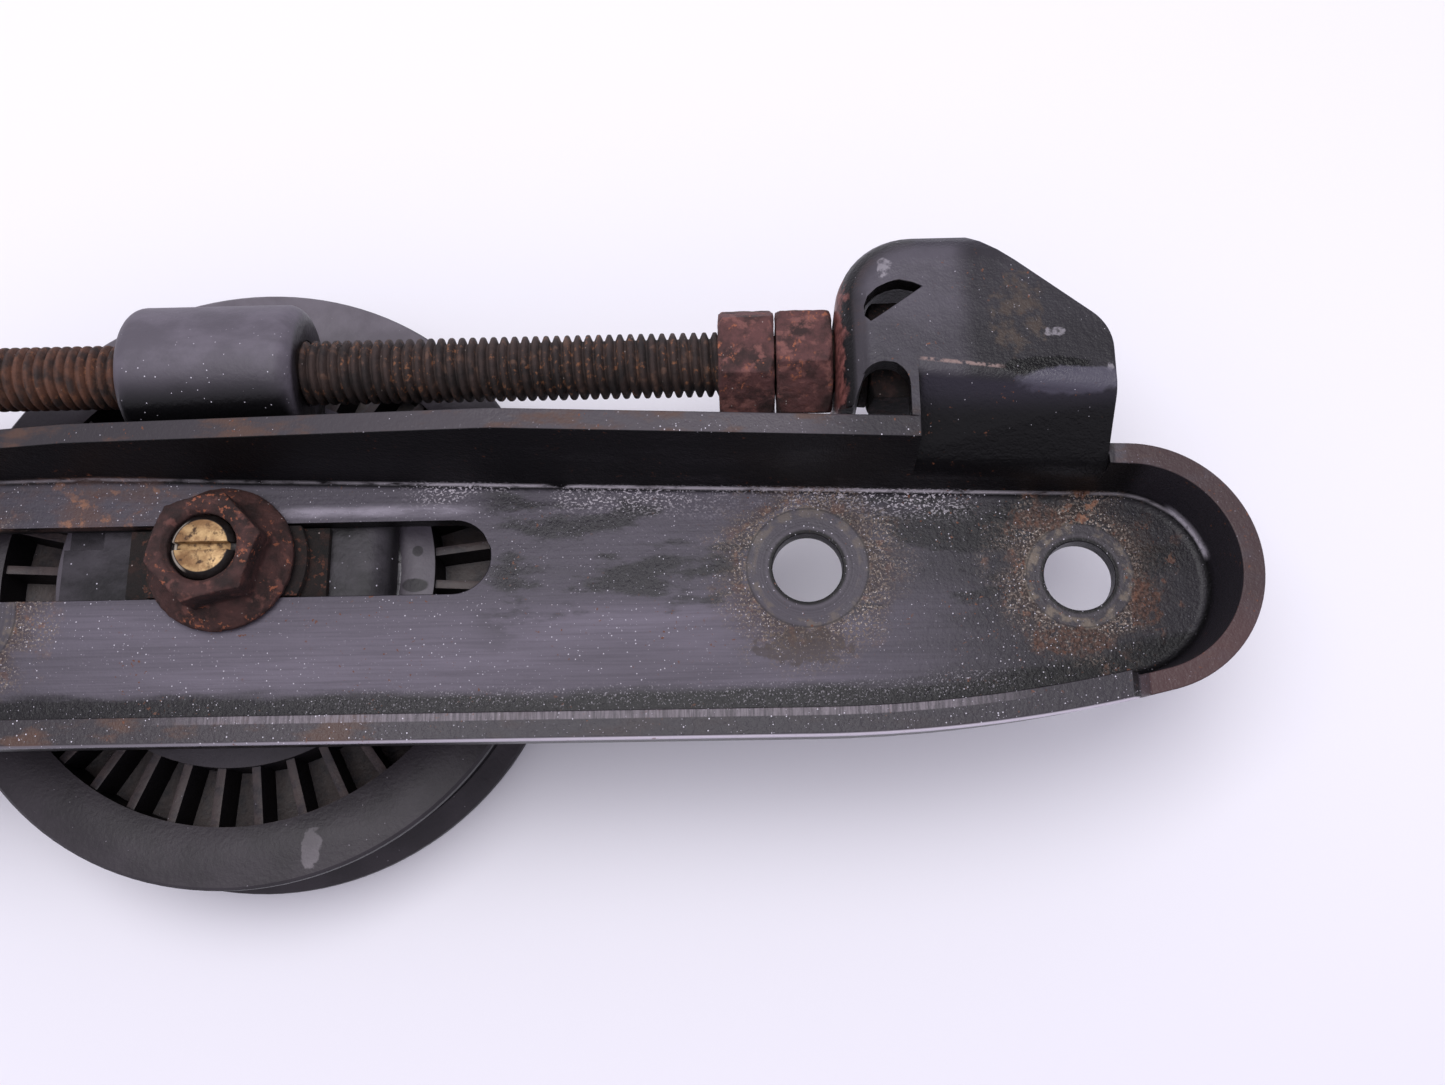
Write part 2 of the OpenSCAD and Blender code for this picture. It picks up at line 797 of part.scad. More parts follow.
module bearing_seal_near() {
    bearing_seal(bearing_top - seal_inset - seal_t);
}

module bearing_seal_far() {
    bearing_seal(bearing_bottom + seal_inset);
}

bracket();
slider_plate();
slot_guide();
adjuster_barrel();
jack_screw();
jam_nut_inner();
jam_nut_outer();
thrust_washer();
retaining_nut();
axle_stud();
lock_nut();
axle_sleeve();
dust_shield();
pulley();
hub_insert();
retaining_ring();
bearing_outer_race();
bearing_inner_race();
bearing_balls();
bearing_cage();
bearing_seal_near();
bearing_seal_far();
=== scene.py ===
# %% [markdown]
# # Belt tensioner idler
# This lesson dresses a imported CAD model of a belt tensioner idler: a pressed steel bracket with a
# long slot, a jack screw that pulls a slider along it, and a ribbed plastic pulley on a ball
# bearing. The CAD model is loaded as a fixed frame, and every new piece is fitted to it. The
# origin is the middle of the two engine bolts, +X runs to the round bolt end, and +Z points up
# along the pulley's axis. Blender works in metres. The camera, the floor and the lamp are given
# in metres too, and everything on the part is written in millimetres and multiplied by MM.

# %% Load the frame
import math
import bmesh
import bpy
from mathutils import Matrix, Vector


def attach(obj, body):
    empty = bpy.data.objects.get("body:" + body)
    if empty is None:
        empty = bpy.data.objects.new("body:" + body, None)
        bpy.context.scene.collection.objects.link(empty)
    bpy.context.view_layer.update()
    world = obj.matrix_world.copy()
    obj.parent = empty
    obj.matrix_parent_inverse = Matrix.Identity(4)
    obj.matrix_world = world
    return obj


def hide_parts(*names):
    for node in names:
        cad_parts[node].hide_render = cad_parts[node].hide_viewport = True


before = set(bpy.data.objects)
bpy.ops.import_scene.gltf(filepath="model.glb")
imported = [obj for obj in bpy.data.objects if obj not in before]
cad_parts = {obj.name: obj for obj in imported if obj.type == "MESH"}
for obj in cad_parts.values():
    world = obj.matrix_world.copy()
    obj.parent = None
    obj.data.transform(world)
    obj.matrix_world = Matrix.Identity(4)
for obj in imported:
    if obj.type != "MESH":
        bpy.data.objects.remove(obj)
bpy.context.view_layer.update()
MM = 0.001

# %% [markdown]
# ## Camera
# The part lies flat and is looked at from almost straight above, a little from its lower side,
# with a moderately wide lens from close by. The wide lens is what makes the tall upper wall lean
# outwards.

# %% Camera
camera_data = bpy.data.cameras.new("camera")
camera_data.lens = 35.007
camera_data.sensor_width = 36
camera_data.clip_start = 0.01
camera = bpy.data.objects.new("camera", camera_data)
camera.location = (-0.03197, -0.05803, 0.23573)
camera.rotation_euler = (math.radians(15.347), math.radians(1.535), math.radians(-0.693))
bpy.context.scene.collection.objects.link(camera)
bpy.context.scene.camera = camera
print("camera at", tuple(camera.location))

# %% [markdown]
# ## Colours and nodes
# Colours are written as sRGB hex values, as in a paint program, and turned to the linear values
# that a shader works in. One small function adds a shader node with its settings and links, so
# that each finish below reads as a list of what it is made of.

# %% Colour and node helpers
def linear(hex_colour):
    values = [int(hex_colour[i:i + 2], 16) / 255 for i in (1, 3, 5)]
    return [v / 12.92 if v <= 0.04045 else ((v + 0.055) / 1.055) ** 2.4 for v in values] + [1.0]


def add(tree, kind, settings=None, links=None):
    """Adds one node. settings are attributes or unlinked inputs; links are {input: output}."""
    made = tree.nodes.new("ShaderNode" + kind)
    for key, value in (settings or {}).items():
        if isinstance(value, str) and value.startswith("#"):
            value = linear(value)
        if isinstance(key, str) and hasattr(made, key):
            setattr(made, key, value)
        else:
            made.inputs[key].default_value = value
    for key, output in (links or {}).items():
        tree.links.new(output, made.inputs[key])
    return made.outputs


def new_finish(name):
    material = bpy.data.materials.new(name)
    material.use_nodes = True
    material.node_tree.nodes.clear()
    return material, material.node_tree


print("#808080 is", round(linear("#808080")[0], 3), "in linear light")

# %% [markdown]
# ## Patterns and layers
# Every pattern reads Object coordinates in millimetres, so that its size is a real size and it
# stays on the piece when the piece moves. Colours are laid over each other through masks, and one
# function ends each finish with the shader, its roughness and a bump of real depth.

# %% Patterns and layers
MIX_COLOURS, MIX_RESULT = (6, 7), 2   # the Mix node's sockets for colour


def place_in_mm(tree):
    coordinates = add(tree, "TexCoord")["Object"]
    to_mm = {"operation": "SCALE", "Scale": 1000.0}
    return add(tree, "VectorMath", to_mm, {0: coordinates})["Vector"]


def patches(tree, place, size_mm, low, high, detail=3.0, stretch=(1, 1, 1)):
    """A mask of irregular patches about size_mm across; low and high set how much they cover."""
    scaled = add(tree, "Mapping", {"Scale": stretch}, {"Vector": place})["Vector"]
    noise = {"Scale": 1.0 / size_mm, "Detail": detail, "Roughness": 0.6}
    cloud = add(tree, "TexNoise", noise, {"Vector": scaled})[0]
    return step(tree, cloud, low, high)


def both(tree, a, b):
    return add(tree, "Math", {"operation": "MULTIPLY"}, {0: a, 1: b})[0]


def paint(tree, mask, under, over):
    """Lays over on under where the mask is 1. A colour is a hex value or a node's output."""
    settings, links = {"data_type": "RGBA"}, {"Factor": mask}
    for socket, colour in zip(MIX_COLOURS, (under, over)):
        if isinstance(colour, str):
            settings[socket] = colour
        else:
            links[socket] = colour
    return add(tree, "Mix", settings, links)[MIX_RESULT]


def step(tree, value, start, end):
    """0 where the value is below start, 1 above end, smooth between."""
    settings = {"interpolation_type": "SMOOTHSTEP", "From Min": start, "From Max": end}
    return add(tree, "MapRange", settings, {"Value": value})["Result"]


def surface(tree, colour, roughness, relief, depth_mm, **shader_settings):
    """The shader: colour and roughness from the pattern, and relief as a bump of real depth."""
    links = {"Base Color": colour}
    if isinstance(roughness, (int, float)):
        shader_settings["Roughness"] = roughness
    else:
        links["Roughness"] = roughness
    if relief is not None:
        bump = {"Strength": 1.0, "Distance": depth_mm * MM}
        links["Normal"] = add(tree, "Bump", bump, {"Height": relief})["Normal"]
    shader = add(tree, "BsdfPrincipled", shader_settings, links)["BSDF"]
    add(tree, "OutputMaterial", {}, {"Surface": shader})


print("patterns are in mm, bumps too")

# %% [markdown]
# ## Floor and light
# The part lies on a plain pale floor, lit by one softbox overhead, a little behind it. That gives
# the sheen on the dusty coat and a soft shadow on the near side. The world adds an even fill. The
# floor's colour is a little darker towards the near side, as a painted falloff of light, so that
# it doesn't burn out to white.

# %% Floor
FLOOR_Z = -0.03222   # the lower flange of the pulley stands on it

bpy.ops.object.select_all(action="DESELECT")
bpy.ops.mesh.primitive_plane_add(size=6, location=(0, 0, FLOOR_Z))
floor = bpy.context.object
floor.name = "floor"
floor_finish, tree = new_finish("pale paper sweep")
floor_y = add(tree, "SeparateXYZ", {}, {"Vector": place_in_mm(tree)})["Y"]
# painted falloff of light: the floor's colour darkens towards the near side
towards_back = step(tree, floor_y, -160, 30)
surface(tree, paint(tree, towards_back, "#e5e2eb", "#f0eef4"), 0.8, None, 0)
floor.data.materials.append(floor_finish)
print("floor at", FLOOR_Z, "m")

# %% Lamp and world
def softbox(name, place, aim, size, watts):
    lamp = bpy.data.lights.new(name, "AREA")
    lamp.shape = "RECTANGLE"
    lamp.size, lamp.size_y = size
    lamp.energy = watts
    made = bpy.data.objects.new(name, lamp)
    made.location = place
    made.rotation_euler = (Vector(aim) - Vector(place)).to_track_quat("-Z", "Y").to_euler()
    bpy.context.scene.collection.objects.link(made)


softbox("overhead softbox", place=(-0.13, 0.07, 0.75), aim=(-0.08, 0.0, 0.0), size=(0.55, 0.40),
        watts=3.45)
world = bpy.data.worlds.new("studio")
world.use_nodes = True
sky = world.node_tree.nodes["Background"].inputs
sky["Color"].default_value = linear("#ebe8f5")
sky["Strength"].default_value = 0.84
bpy.context.scene.world = world
bpy.context.scene.view_settings.view_transform = "Standard"
print("one softbox and an even world")

# %% [markdown]
# ## Masks
# A worn surface is a stack of marks: each is a colour, and a mask that says where it lies. A mask
# could be painted by hand on an unwrapped mesh. Made of nodes, it needs no image and stays sharp
# from close by. It comes from three things: the place on the part, the way a face looks, and
# noise.

# %% Mask helpers
def inverse(tree, mask):
    return add(tree, "Math", {"operation": "SUBTRACT", 0: 1.0}, {1: mask})[0]


def ramp(tree, value, start, end, low, high):
    """low where the value is below start, high above end, smooth between."""
    settings = {"interpolation_type": "SMOOTHSTEP", "From Min": start, "From Max": end,
                "To Min": low, "To Max": high}
    return add(tree, "MapRange", settings, {"Value": value})["Result"]


def all_of(tree, *masks):
    """1 where every mask is 1. A number among them thins the result."""
    result = masks[0]
    for mask in masks[1:]:
        if isinstance(mask, (int, float)):
            result = add(tree, "Math", {"operation": "MULTIPLY", 1: mask}, {0: result})[0]
        else:
            result = both(tree, result, mask)
    return result


def mark(tree, colour, over, *masks):
    """Lays the colour over on the colour so far, where all the masks are 1."""
    return paint(tree, all_of(tree, *masks), colour, over)


def band(tree, value, start, end, soft):
    """1 between start and end, fading over soft on each side."""
    return both(tree, step(tree, value, start - soft, start + soft),
                inverse(tree, step(tree, value, end - soft, end + soft)))


def grit(tree, place, size_mm, radius, share):
    """Small round specks, one in each chosen cell of a cell pattern."""
    cells = add(tree, "TexVoronoi", {"Scale": 1.0 / size_mm}, {"Vector": place})
    within = {"operation": "LESS_THAN", 1: radius / size_mm}
    near = add(tree, "Math", within, {0: cells["Distance"]})[0]
    chance = add(tree, "SeparateXYZ", {}, {"Vector": cells["Color"]})["X"]
    chosen = add(tree, "Math", {"operation": "GREATER_THAN", 1: 1.0 - share}, {0: chance})[0]
    return both(tree, near, chosen)


def spot(tree, place, centre, radii, ragged):
    """An oval spot round centre, its edge broken up by noise of the given strength."""
    moved = add(tree, "VectorMath", {"operation": "SUBTRACT", 1: centre}, {0: place})["Vector"]
    sized = add(tree, "VectorMath", {"operation": "DIVIDE", 1: radii}, {0: moved})["Vector"]
    reach = add(tree, "VectorMath", {"operation": "LENGTH"}, {0: sized})["Value"]
    edge = add(tree, "TexNoise", {"Scale": 0.55, "Detail": 5.0}, {"Vector": place})[0]
    reach = add(tree, "Math", {"operation": "MULTIPLY_ADD", 1: ragged}, {0: edge, 2: reach})[0]
    return inverse(tree, step(tree, reach, 0.85 + ragged / 2, 1.1 + ragged / 2))


print("masks: inverse, ramp, all_of, band, grit and spot")

# %% [markdown]
# ## Coated steel of the bracket
# The bracket is pressed steel with black e-coat, an electrically laid paint: thin, even and
# satin. Years under a bonnet have left grey dust on its upward faces, fine scratches along it,
# salt-white specks, and rust where the bolts' washers cut through the coat.
#
# The marks share a set of places. The lower wall bows in along its length and the upper wall
# slants, so both get a distance of their own across the web. That keeps the dust's edge parallel
# to the walls.

# %% Places on the bracket
WEB_TOP = 3.5                       # mm, height of the web's upper face
BOW_START, BOW_SCALE = -22.7, 480   # mm: the lower wall bows in by (x - start) squared / scale
WALL_SLANT, WALL_SHIFT = 0.0353, 5.17   # the upper wall comes in by x * slant + shift mm


class BracketPlaces:
    """Places on the bracket in mm and masks of its faces, for all its marks to share."""

    def __init__(self, tree):
        self.place = place_in_mm(tree)
        axes = add(tree, "SeparateXYZ", {}, {"Vector": self.place})
        self.x, self.y, self.z = axes["X"], axes["Y"], axes["Z"]
        normal = add(tree, "TexCoord")["Normal"]
        self.facing = add(tree, "SeparateXYZ", {}, {"Vector": normal})["Z"]
        self.upward = step(tree, self.facing, 0.72, 0.98)
        # y from the bowed lower wall, and y from the slanting upper wall
        past_start = add(tree, "Math", {1: -BOW_START}, {0: self.x})[0]
        bow = add(tree, "Math", {"operation": "MAXIMUM", 1: 0.0}, {0: past_start})[0]
        bow = all_of(tree, bow, bow, 1 / BOW_SCALE)
        self.from_lower = add(tree, "Math", {"operation": "SUBTRACT"}, {0: self.y, 1: bow})[0]
        slant = {"operation": "MULTIPLY_ADD", 1: WALL_SLANT, 2: WALL_SHIFT}
        slant = add(tree, "Math", slant, {0: self.x})[0]
        slant = add(tree, "Math", {"operation": "MAXIMUM", 1: 0.0}, {0: slant})[0]
        self.from_upper = add(tree, "Math", {}, {0: self.y, 1: slant})[0]
        # the web, the ear's plate, and the top edges of the walls
        self.web = all_of(tree, inverse(tree, step(tree, self.z, 4.6, 5.6)),
                          step(tree, self.z, 0.8, 2.0))
        self.plate = all_of(tree, step(tree, self.from_upper, 24.5, 27.5), self.upward,
                            step(tree, self.z, 15, 18))
        leaning_top = all_of(tree, step(tree, self.facing, 0.45, 0.75),
                             step(tree, self.x, 26.6, 27.2))
        top = add(tree, "Math", {"operation": "MAXIMUM"}, {0: self.upward, 1: leaning_top})[0]
        beside_ear = all_of(tree, step(tree, self.x, -5.4, -5.0), step(tree, self.z, 17, 18),
                            step(tree, self.y, 0, 2))
        self.rim = all_of(tree, step(tree, self.z, 11, 12.5), top, inverse(tree, self.plate),
                          inverse(tree, beside_ear))


print("web at", WEB_TOP, "mm; at x = 40 mm the lower wall has bowed in by",
      round((40 - BOW_START) ** 2 / BOW_SCALE, 1), "mm")

# %% [markdown]
# ### Dust on the web
# Dust settles on the flat web. It is heaviest along the lower half and thin towards the bolt end.
# Near the lower wall it fades out, which leaves a painted shade along that corner. Some patches
# were wiped clean. Fine brushing lies along the web under the coat, and a thin film of brown rust
# above the slot's far half.

# %% Dust on the web
DUST_EDGE = (-19.4, -17.2)   # mm across the web, where the dust fades out towards the lower wall


def web_dust(tree, on):
    """The coat with the web's dust and painted shade. Also gives their mask and the dust's
    wandering distance.
    """
    cloud = patches(tree, on.place, 4, 0.2, 0.8, 6.0, (0.2, 1, 1))
    wander = add(tree, "Math", {"operation": "MULTIPLY_ADD", 1: 2.2},
                 {0: cloud, 2: on.from_lower})[0]
    streaks = patches(tree, on.place, 9, 0.25, 0.75, 5.0, (0.12, 1, 1))
    # near the lower wall the dust fades out and the web goes black: painted shade in that corner
    film = all_of(tree, ramp(tree, on.x, -178, -118, 0.55, 0.88),
                  ramp(tree, on.x, -34, 22, 1.0, 0.13), ramp(tree, wander, *DUST_EDGE, 0.08, 1.0),
                  ramp(tree, on.from_lower, -9, 1, 1.0, 0.58),
                  ramp(tree, streaks, 0, 1, 0.78, 1.12))
    wiped = all_of(tree, patches(tree, on.place, 7, 0.50, 0.60, 6.0, (0.35, 1, 1)),
                   band(tree, on.x, -78, 40, 4), ramp(tree, on.from_lower, -12, -4, 0.15, 0.75))
    film = all_of(tree, film, inverse(tree, wiped))
    colour = mark(tree, "#0d0c0e", "#77707d", film, on.web, on.upward)
    brushed = patches(tree, on.place, 0.45, 0.4, 0.7, 4.0, (0.025, 1, 1))
    colour = mark(tree, colour, "#242126", brushed, on.web, on.upward, 0.22)
    stain = all_of(tree, patches(tree, on.place, 7, 0.38, 0.6, 5.0, (0.5, 1, 1)),
                   inverse(tree, step(tree, on.x, -140, -124)), step(tree, on.y, 7, 10), on.web)
    colour = mark(tree, colour, "#5b4540", stain, 0.75)
    colour = mark(tree, colour, "#8c6450", stain, patches(tree, on.place, 2.2, 0.56, 0.66, 4.0))
    return colour, film, wander


print("the dust fades out over", round(DUST_EDGE[1] - DUST_EDGE[0], 1), "mm")

# %% [markdown]
# ### Marks on the ear
# The ear's plate carries dust and a painted sheen: lighter round its leaf-shaped opening, darker
# towards the slanted edge. It has a patch of brown film, one wet-looking black run, a few pale
# scuffs, and a worn line where it was folded. Its slope below the fold has a painted highlight
# and a painted violet sheen.

# %% Marks on the ear
EAR_SCUFFS = (((-10.2, 46.3, 24), (1.2, 1.9, 9)), ((17.1, 33.9, 25), (1.9, 0.8, 9)),
              ((25.4, 27.6, 24), (0.5, 0.8, 9)))   # centre and radii, mm


def ear_marks(tree, on, colour):
    """Adds the ear's marks, painted sheen among them. Also gives the wet run's mask: it is glossy
    too.
    """
    cloud = patches(tree, on.place, 6, 0.3, 0.7, 4.0)
    # dust and painted sheen: the plate is lighter left of x = 0.5 mm and towards its far side
    dust = all_of(tree, ramp(tree, on.x, 0.5, 5.0, 0.58, 0.20), ramp(tree, on.y, 28, 46, 0.55, 1.0),
                  ramp(tree, cloud, 0, 1, 0.85, 1.08))
    colour = mark(tree, colour, "#68636d", on.plate, dust)
    brown = all_of(tree, spot(tree, on.place, (11, 37, 25), (4.5, 7, 20), 1.6), on.plate,
                   patches(tree, on.place, 2.5, 0.4, 0.6, 5.0))
    colour = mark(tree, colour, "#4d4138", brown, 0.6)
    wet = all_of(tree, spot(tree, on.place, (15.4, 28.1, 25), (7.5, 1.6, 20), 0.7),
                 step(tree, on.z, 20, 22))
    colour = mark(tree, colour, "#09080a", wet)
    for centre, radii in EAR_SCUFFS:
        scuff = all_of(tree, spot(tree, on.place, centre, radii, 1.8),
                       patches(tree, on.place, 0.8, 0.35, 0.6, 4.0), 0.6)
        colour = mark(tree, colour, "#9a959c", scuff)
    across_fold = add(tree, "Math", {"operation": "MULTIPLY_ADD", 1: 0.13}, {0: on.x, 2: on.y})[0]
    fold = all_of(tree, band(tree, across_fold, 28.9, 29.5, 0.15), band(tree, on.x, -4.6, 8, 1.0),
                  step(tree, on.z, 24, 25))
    colour = mark(tree, colour, "#84706c", fold, patches(tree, on.place, 0.9, 0.38, 0.55))
    # painted highlight: a lighter band on the slope just below the fold
    flare = all_of(tree, spot(tree, on.place, (20, 25.8, 24), (9, 2.2, 9), 0.6),
                   step(tree, on.z, 20, 22))
    colour = mark(tree, colour, "#55525f", flare, 0.75)
    # painted sheen: a violet tint on the upper part of the flare's slope
    violet = all_of(tree, step(tree, on.x, -5.3, -4), step(tree, on.z, 19, 24.5),
                    step(tree, on.facing, 0.25, 0.6), inverse(tree, on.plate),
                    step(tree, on.y, 20.5, 25))
    return mark(tree, colour, "#34303c", violet, 0.6), wet


print(len(EAR_SCUFFS), "scuffs on the ear")

# %% [markdown]
# ### Top edges of the walls
# A pressed tray is trimmed last, so its top edges are cut steel with little coat on them. Dust
# lies over brown there, darker at the far end, and the round bolt end is rust-brown. A strip of
# the lower wall's top was scraped square; its outer edge has a painted reflection of the floor.

# %% Top edges of the walls
SCRAPED = (-26.75, -25.3)   # mm across the web


def wall_tops(tree, on, colour):
    colour = mark(tree, colour, "#554f55", on.rim, ramp(tree, on.x, -170, -20, 0.34, 0.80))
    brown = patches(tree, on.place, 4.5, 0.5, 0.66, 5.0, (0.4, 1, 1))
    colour = mark(tree, colour, "#553f36", on.rim, brown, 0.8)
    end_rim = all_of(tree, on.rim, step(tree, on.x, 28.6, 29.6))
    cloud = patches(tree, on.place, 7, 0.25, 0.6)
    colour = mark(tree, colour, "#443637", end_rim, ramp(tree, cloud, 0, 1, 0.5, 1))
    colour = mark(tree, colour, "#523c3c", end_rim, step(tree, on.y, -6, -14), 0.6)
    ear_rim = all_of(tree, on.rim, step(tree, on.x, -26, -12), step(tree, on.y, 12, 14),
                     inverse(tree, step(tree, on.x, 27, 27.5)))
    colour = mark(tree, colour, "#232125", ear_rim, 0.75)
    near_rim = all_of(tree, on.rim, inverse(tree, step(tree, on.y, -20, -16)),
                      step(tree, on.x, -110, -70), inverse(tree, step(tree, on.x, 28, 29)))
    colour = mark(tree, colour, "#353237", near_rim, ramp(tree, on.x, -110, -30, 0.55, 0.92))
    step_face = all_of(tree, band(tree, on.x, 27.2, 29.2, 0.2),
                       inverse(tree, step(tree, on.y, -18, -17)), step(tree, on.z, 14, 15))
    colour = mark(tree, colour, "#4a3f42", step_face)
    scraped = all_of(tree, on.rim, band(tree, on.from_lower, *SCRAPED, 0.1),
                     step(tree, on.x, -130, -112), inverse(tree, step(tree, on.x, -4, 14)))
    hatch = patches(tree, on.place, 0.35, 0.30, 0.72, 3.0, (1, 0.06, 0.3))
    colour = mark(tree, colour, "#7a7279", scraped, ramp(tree, hatch, 0, 1, 0.25, 0.9))
    # painted reflection: a pale line of the floor on the lower wall's outer top edge
    burnished = all_of(tree, step(tree, on.z, 19.5, 20.4),
                       inverse(tree, step(tree, on.from_lower, -29.75, -29.45)))
    return mark(tree, colour, "#c2bac6", burnished, ramp(tree, on.x, -150, -40, 0.25, 1.0))


print("the scraped strip is", round(SCRAPED[1] - SCRAPED[0], 2), "mm wide")

# %% [markdown]
# ### Crust and painted highlights in the corners
# Salt and road dirt dried to a pale crust where water stood longest: in the corner under the
# upper wall and along the edge of the dust. A thin painted highlight runs along the bend of that
# corner, and a painted highlight band lies on the web behind the slot's rolled upper lip.

# %% Crust and painted highlights in the corners
CRUST_GRAIN, CRUMB_GRAIN = 0.36, 0.34   # mm


def pale_crust(tree, on, colour, wander):
    # painted highlight: a thin pale line along the bend under the upper wall
    line = all_of(tree, band(tree, on.z, 4.2, 4.9, 0.2), step(tree, on.from_upper, 15, 17),
                  step(tree, on.facing, 0.2, 0.6),
                  patches(tree, on.place, 2.0, 0.3, 0.55, 5.0, (0.35, 1, 1)),
                  ramp(tree, on.x, 2, 20, 1.0, 0.45), ramp(tree, on.x, -108, -84, 0.4, 1.0))
    colour = mark(tree, colour, "#b7b0b8", line)
    crust = all_of(tree, patches(tree, on.place, CRUST_GRAIN, 0.54, 0.60, 3.0, (0.7, 1, 1)),
                   ramp(tree, on.from_upper, 13.0, 18.0, 0.0, 1.0), band(tree, on.x, -90, 4, 5),
                   on.web, patches(tree, on.place, 12, 0.40, 0.58, 3.0, (0.4, 1, 1)))
    colour = mark(tree, colour, "#b9b2ba", crust)
    crumbs = all_of(tree, patches(tree, on.place, CRUMB_GRAIN, 0.60, 0.66, 2.0),
                    band(tree, wander, -20.8, -17.6, 0.7), on.web,
                    ramp(tree, on.x, -120, -80, 0.1, 1.0), inverse(tree, step(tree, on.x, 6, 16)))
    colour = mark(tree, colour, "#a29ca5", crumbs, 0.6)
    # painted highlight: a pale band on the web behind the slot's rolled lip, broken up by noise
    lip = all_of(tree, band(tree, on.y, 11.7, 13.4, 0.7), band(tree, on.x, -118, -82, 5), on.web)
    rubbed = patches(tree, on.place, 2.0, 0.3, 0.7, 5.0, (0.2, 1, 1))
    return mark(tree, colour, "#9a93a0", lip, ramp(tree, rubbed, 0, 1, 0.25, 0.85))


print("crust of", CRUST_GRAIN, "mm grains, crumbs of", CRUMB_GRAIN, "mm")

# %% [markdown]
# ### Bolt seats
# A tight washer kept dust off the web and ground the coat away in rings. Round each seat lies tan
# dirt, then brown rust that crept outwards under the coat. The inner engine bolt's seat is the
# cleanest.

# %% Bolt seats
BOLT_SEATS = ((-22.97, 1.16, 10.4, 0.35), (22.97, -1.16, 9.0, 1.0),
              (-169.8, -5.2, 11.0, 0.6))   # x, y and washer radius in mm, and share of rust


def bolt_seats(tree, on, colour):
    for seat_x, seat_y, seat_r, rust in BOLT_SEATS:
        reach = add(tree, "VectorMath", {"operation": "DISTANCE", 1: (seat_x, seat_y, WEB_TOP)},
                    {0: on.place})["Value"]
        ragged = add(tree, "Math", {"operation": "MULTIPLY_ADD", 1: 9.0},
                     {0: patches(tree, on.place, 5.0, 0.2, 0.8), 2: reach})[0]
        around = all_of(tree, step(tree, reach, seat_r - 0.6, seat_r + 0.4),
                        inverse(tree, step(tree, ragged, seat_r + 4, seat_r + 13)), on.web)
        stained = patches(tree, on.place, 5.0, 0.38, 0.56, 4.0)
        colour = mark(tree, colour, "#35261f", around, stained, 0.85)
        grains = patches(tree, on.place, 0.45, 0.52, 0.58, 3.0)
        colour = mark(tree, colour, "#6f6159", around, grains, ramp(tree, on.x, 31, 35, 1.0, 0.15))
        pale = patches(tree, on.place, 0.36, 0.62, 0.67, 2.0)
        colour = mark(tree, colour, "#b3a8a1", around, pale, ramp(tree, on.x, 30, 35, 1.0, 0.1))
        scale = all_of(tree, around, patches(tree, on.place, 3.4, 0.56, 0.60, 5.0), rust)
        flaked = paint(tree, patches(tree, on.place, 0.8, 0.4, 0.6), "#5a382c", "#86604c")
        colour = mark(tree, colour, flaked, scale)
        seat = all_of(tree, inverse(tree, step(tree, reach, seat_r - 0.3, seat_r + 0.2)),
                      on.upward, on.web)
        rings = {"Scale": 2.2, "Detail": 2.0, "noise_dimensions": "1D"}
        rings = add(tree, "TexNoise", rings, {"W": reach})[0]
        colour = mark(tree, colour, paint(tree, rings, "#3d3a40", "#67616a"), seat, 0.85)
        colour = mark(tree, colour, "#2a2626", seat, 0.5 * rust)
        dirt = all_of(tree, band(tree, reach, seat_r - 1.6, seat_r + 0.3, 0.3),
                      patches(tree, on.place, 3.0, 0.45, 0.60, 5.0), on.web, 0.25 + 0.6 * rust)
        colour = mark(tree, colour, "#766a5f", dirt)
        outline = all_of(tree, band(tree, reach, seat_r - 0.15, seat_r + 0.15, 0.12), on.web, 0.6)
        colour = mark(tree, colour, "#262327", outline)
        hole_edge = inverse(tree, step(tree, reach, 6.4, 6.8))
        colour = mark(tree, colour, "#1b191b", hole_edge, on.web)
    return colour


print(len(BOLT_SEATS), "bolt seats")

# %% [markdown]
# ### Rust, oil and painted light
# The ear's end wall rusts where the nuts bear on it. Red-brown scale has broken out by the near
# bolt, and oil has browned the web by the inner one. A pale arc in the round end's corner is a
# painted highlight. The inside of the drawn corner and the underside of the ear's cap are painted
# near-black as shade.

# %% Rust, oil and painted light
SCALE_SPOTS = (((20.5, -12.3, WEB_TOP), (6.8, 2.4, 5)), ((33.6, -6.0, WEB_TOP), (2.6, 4.6, 5)),
               ((17, 8.6, WEB_TOP), (5, 2.2, 5)))   # centre and radii, mm


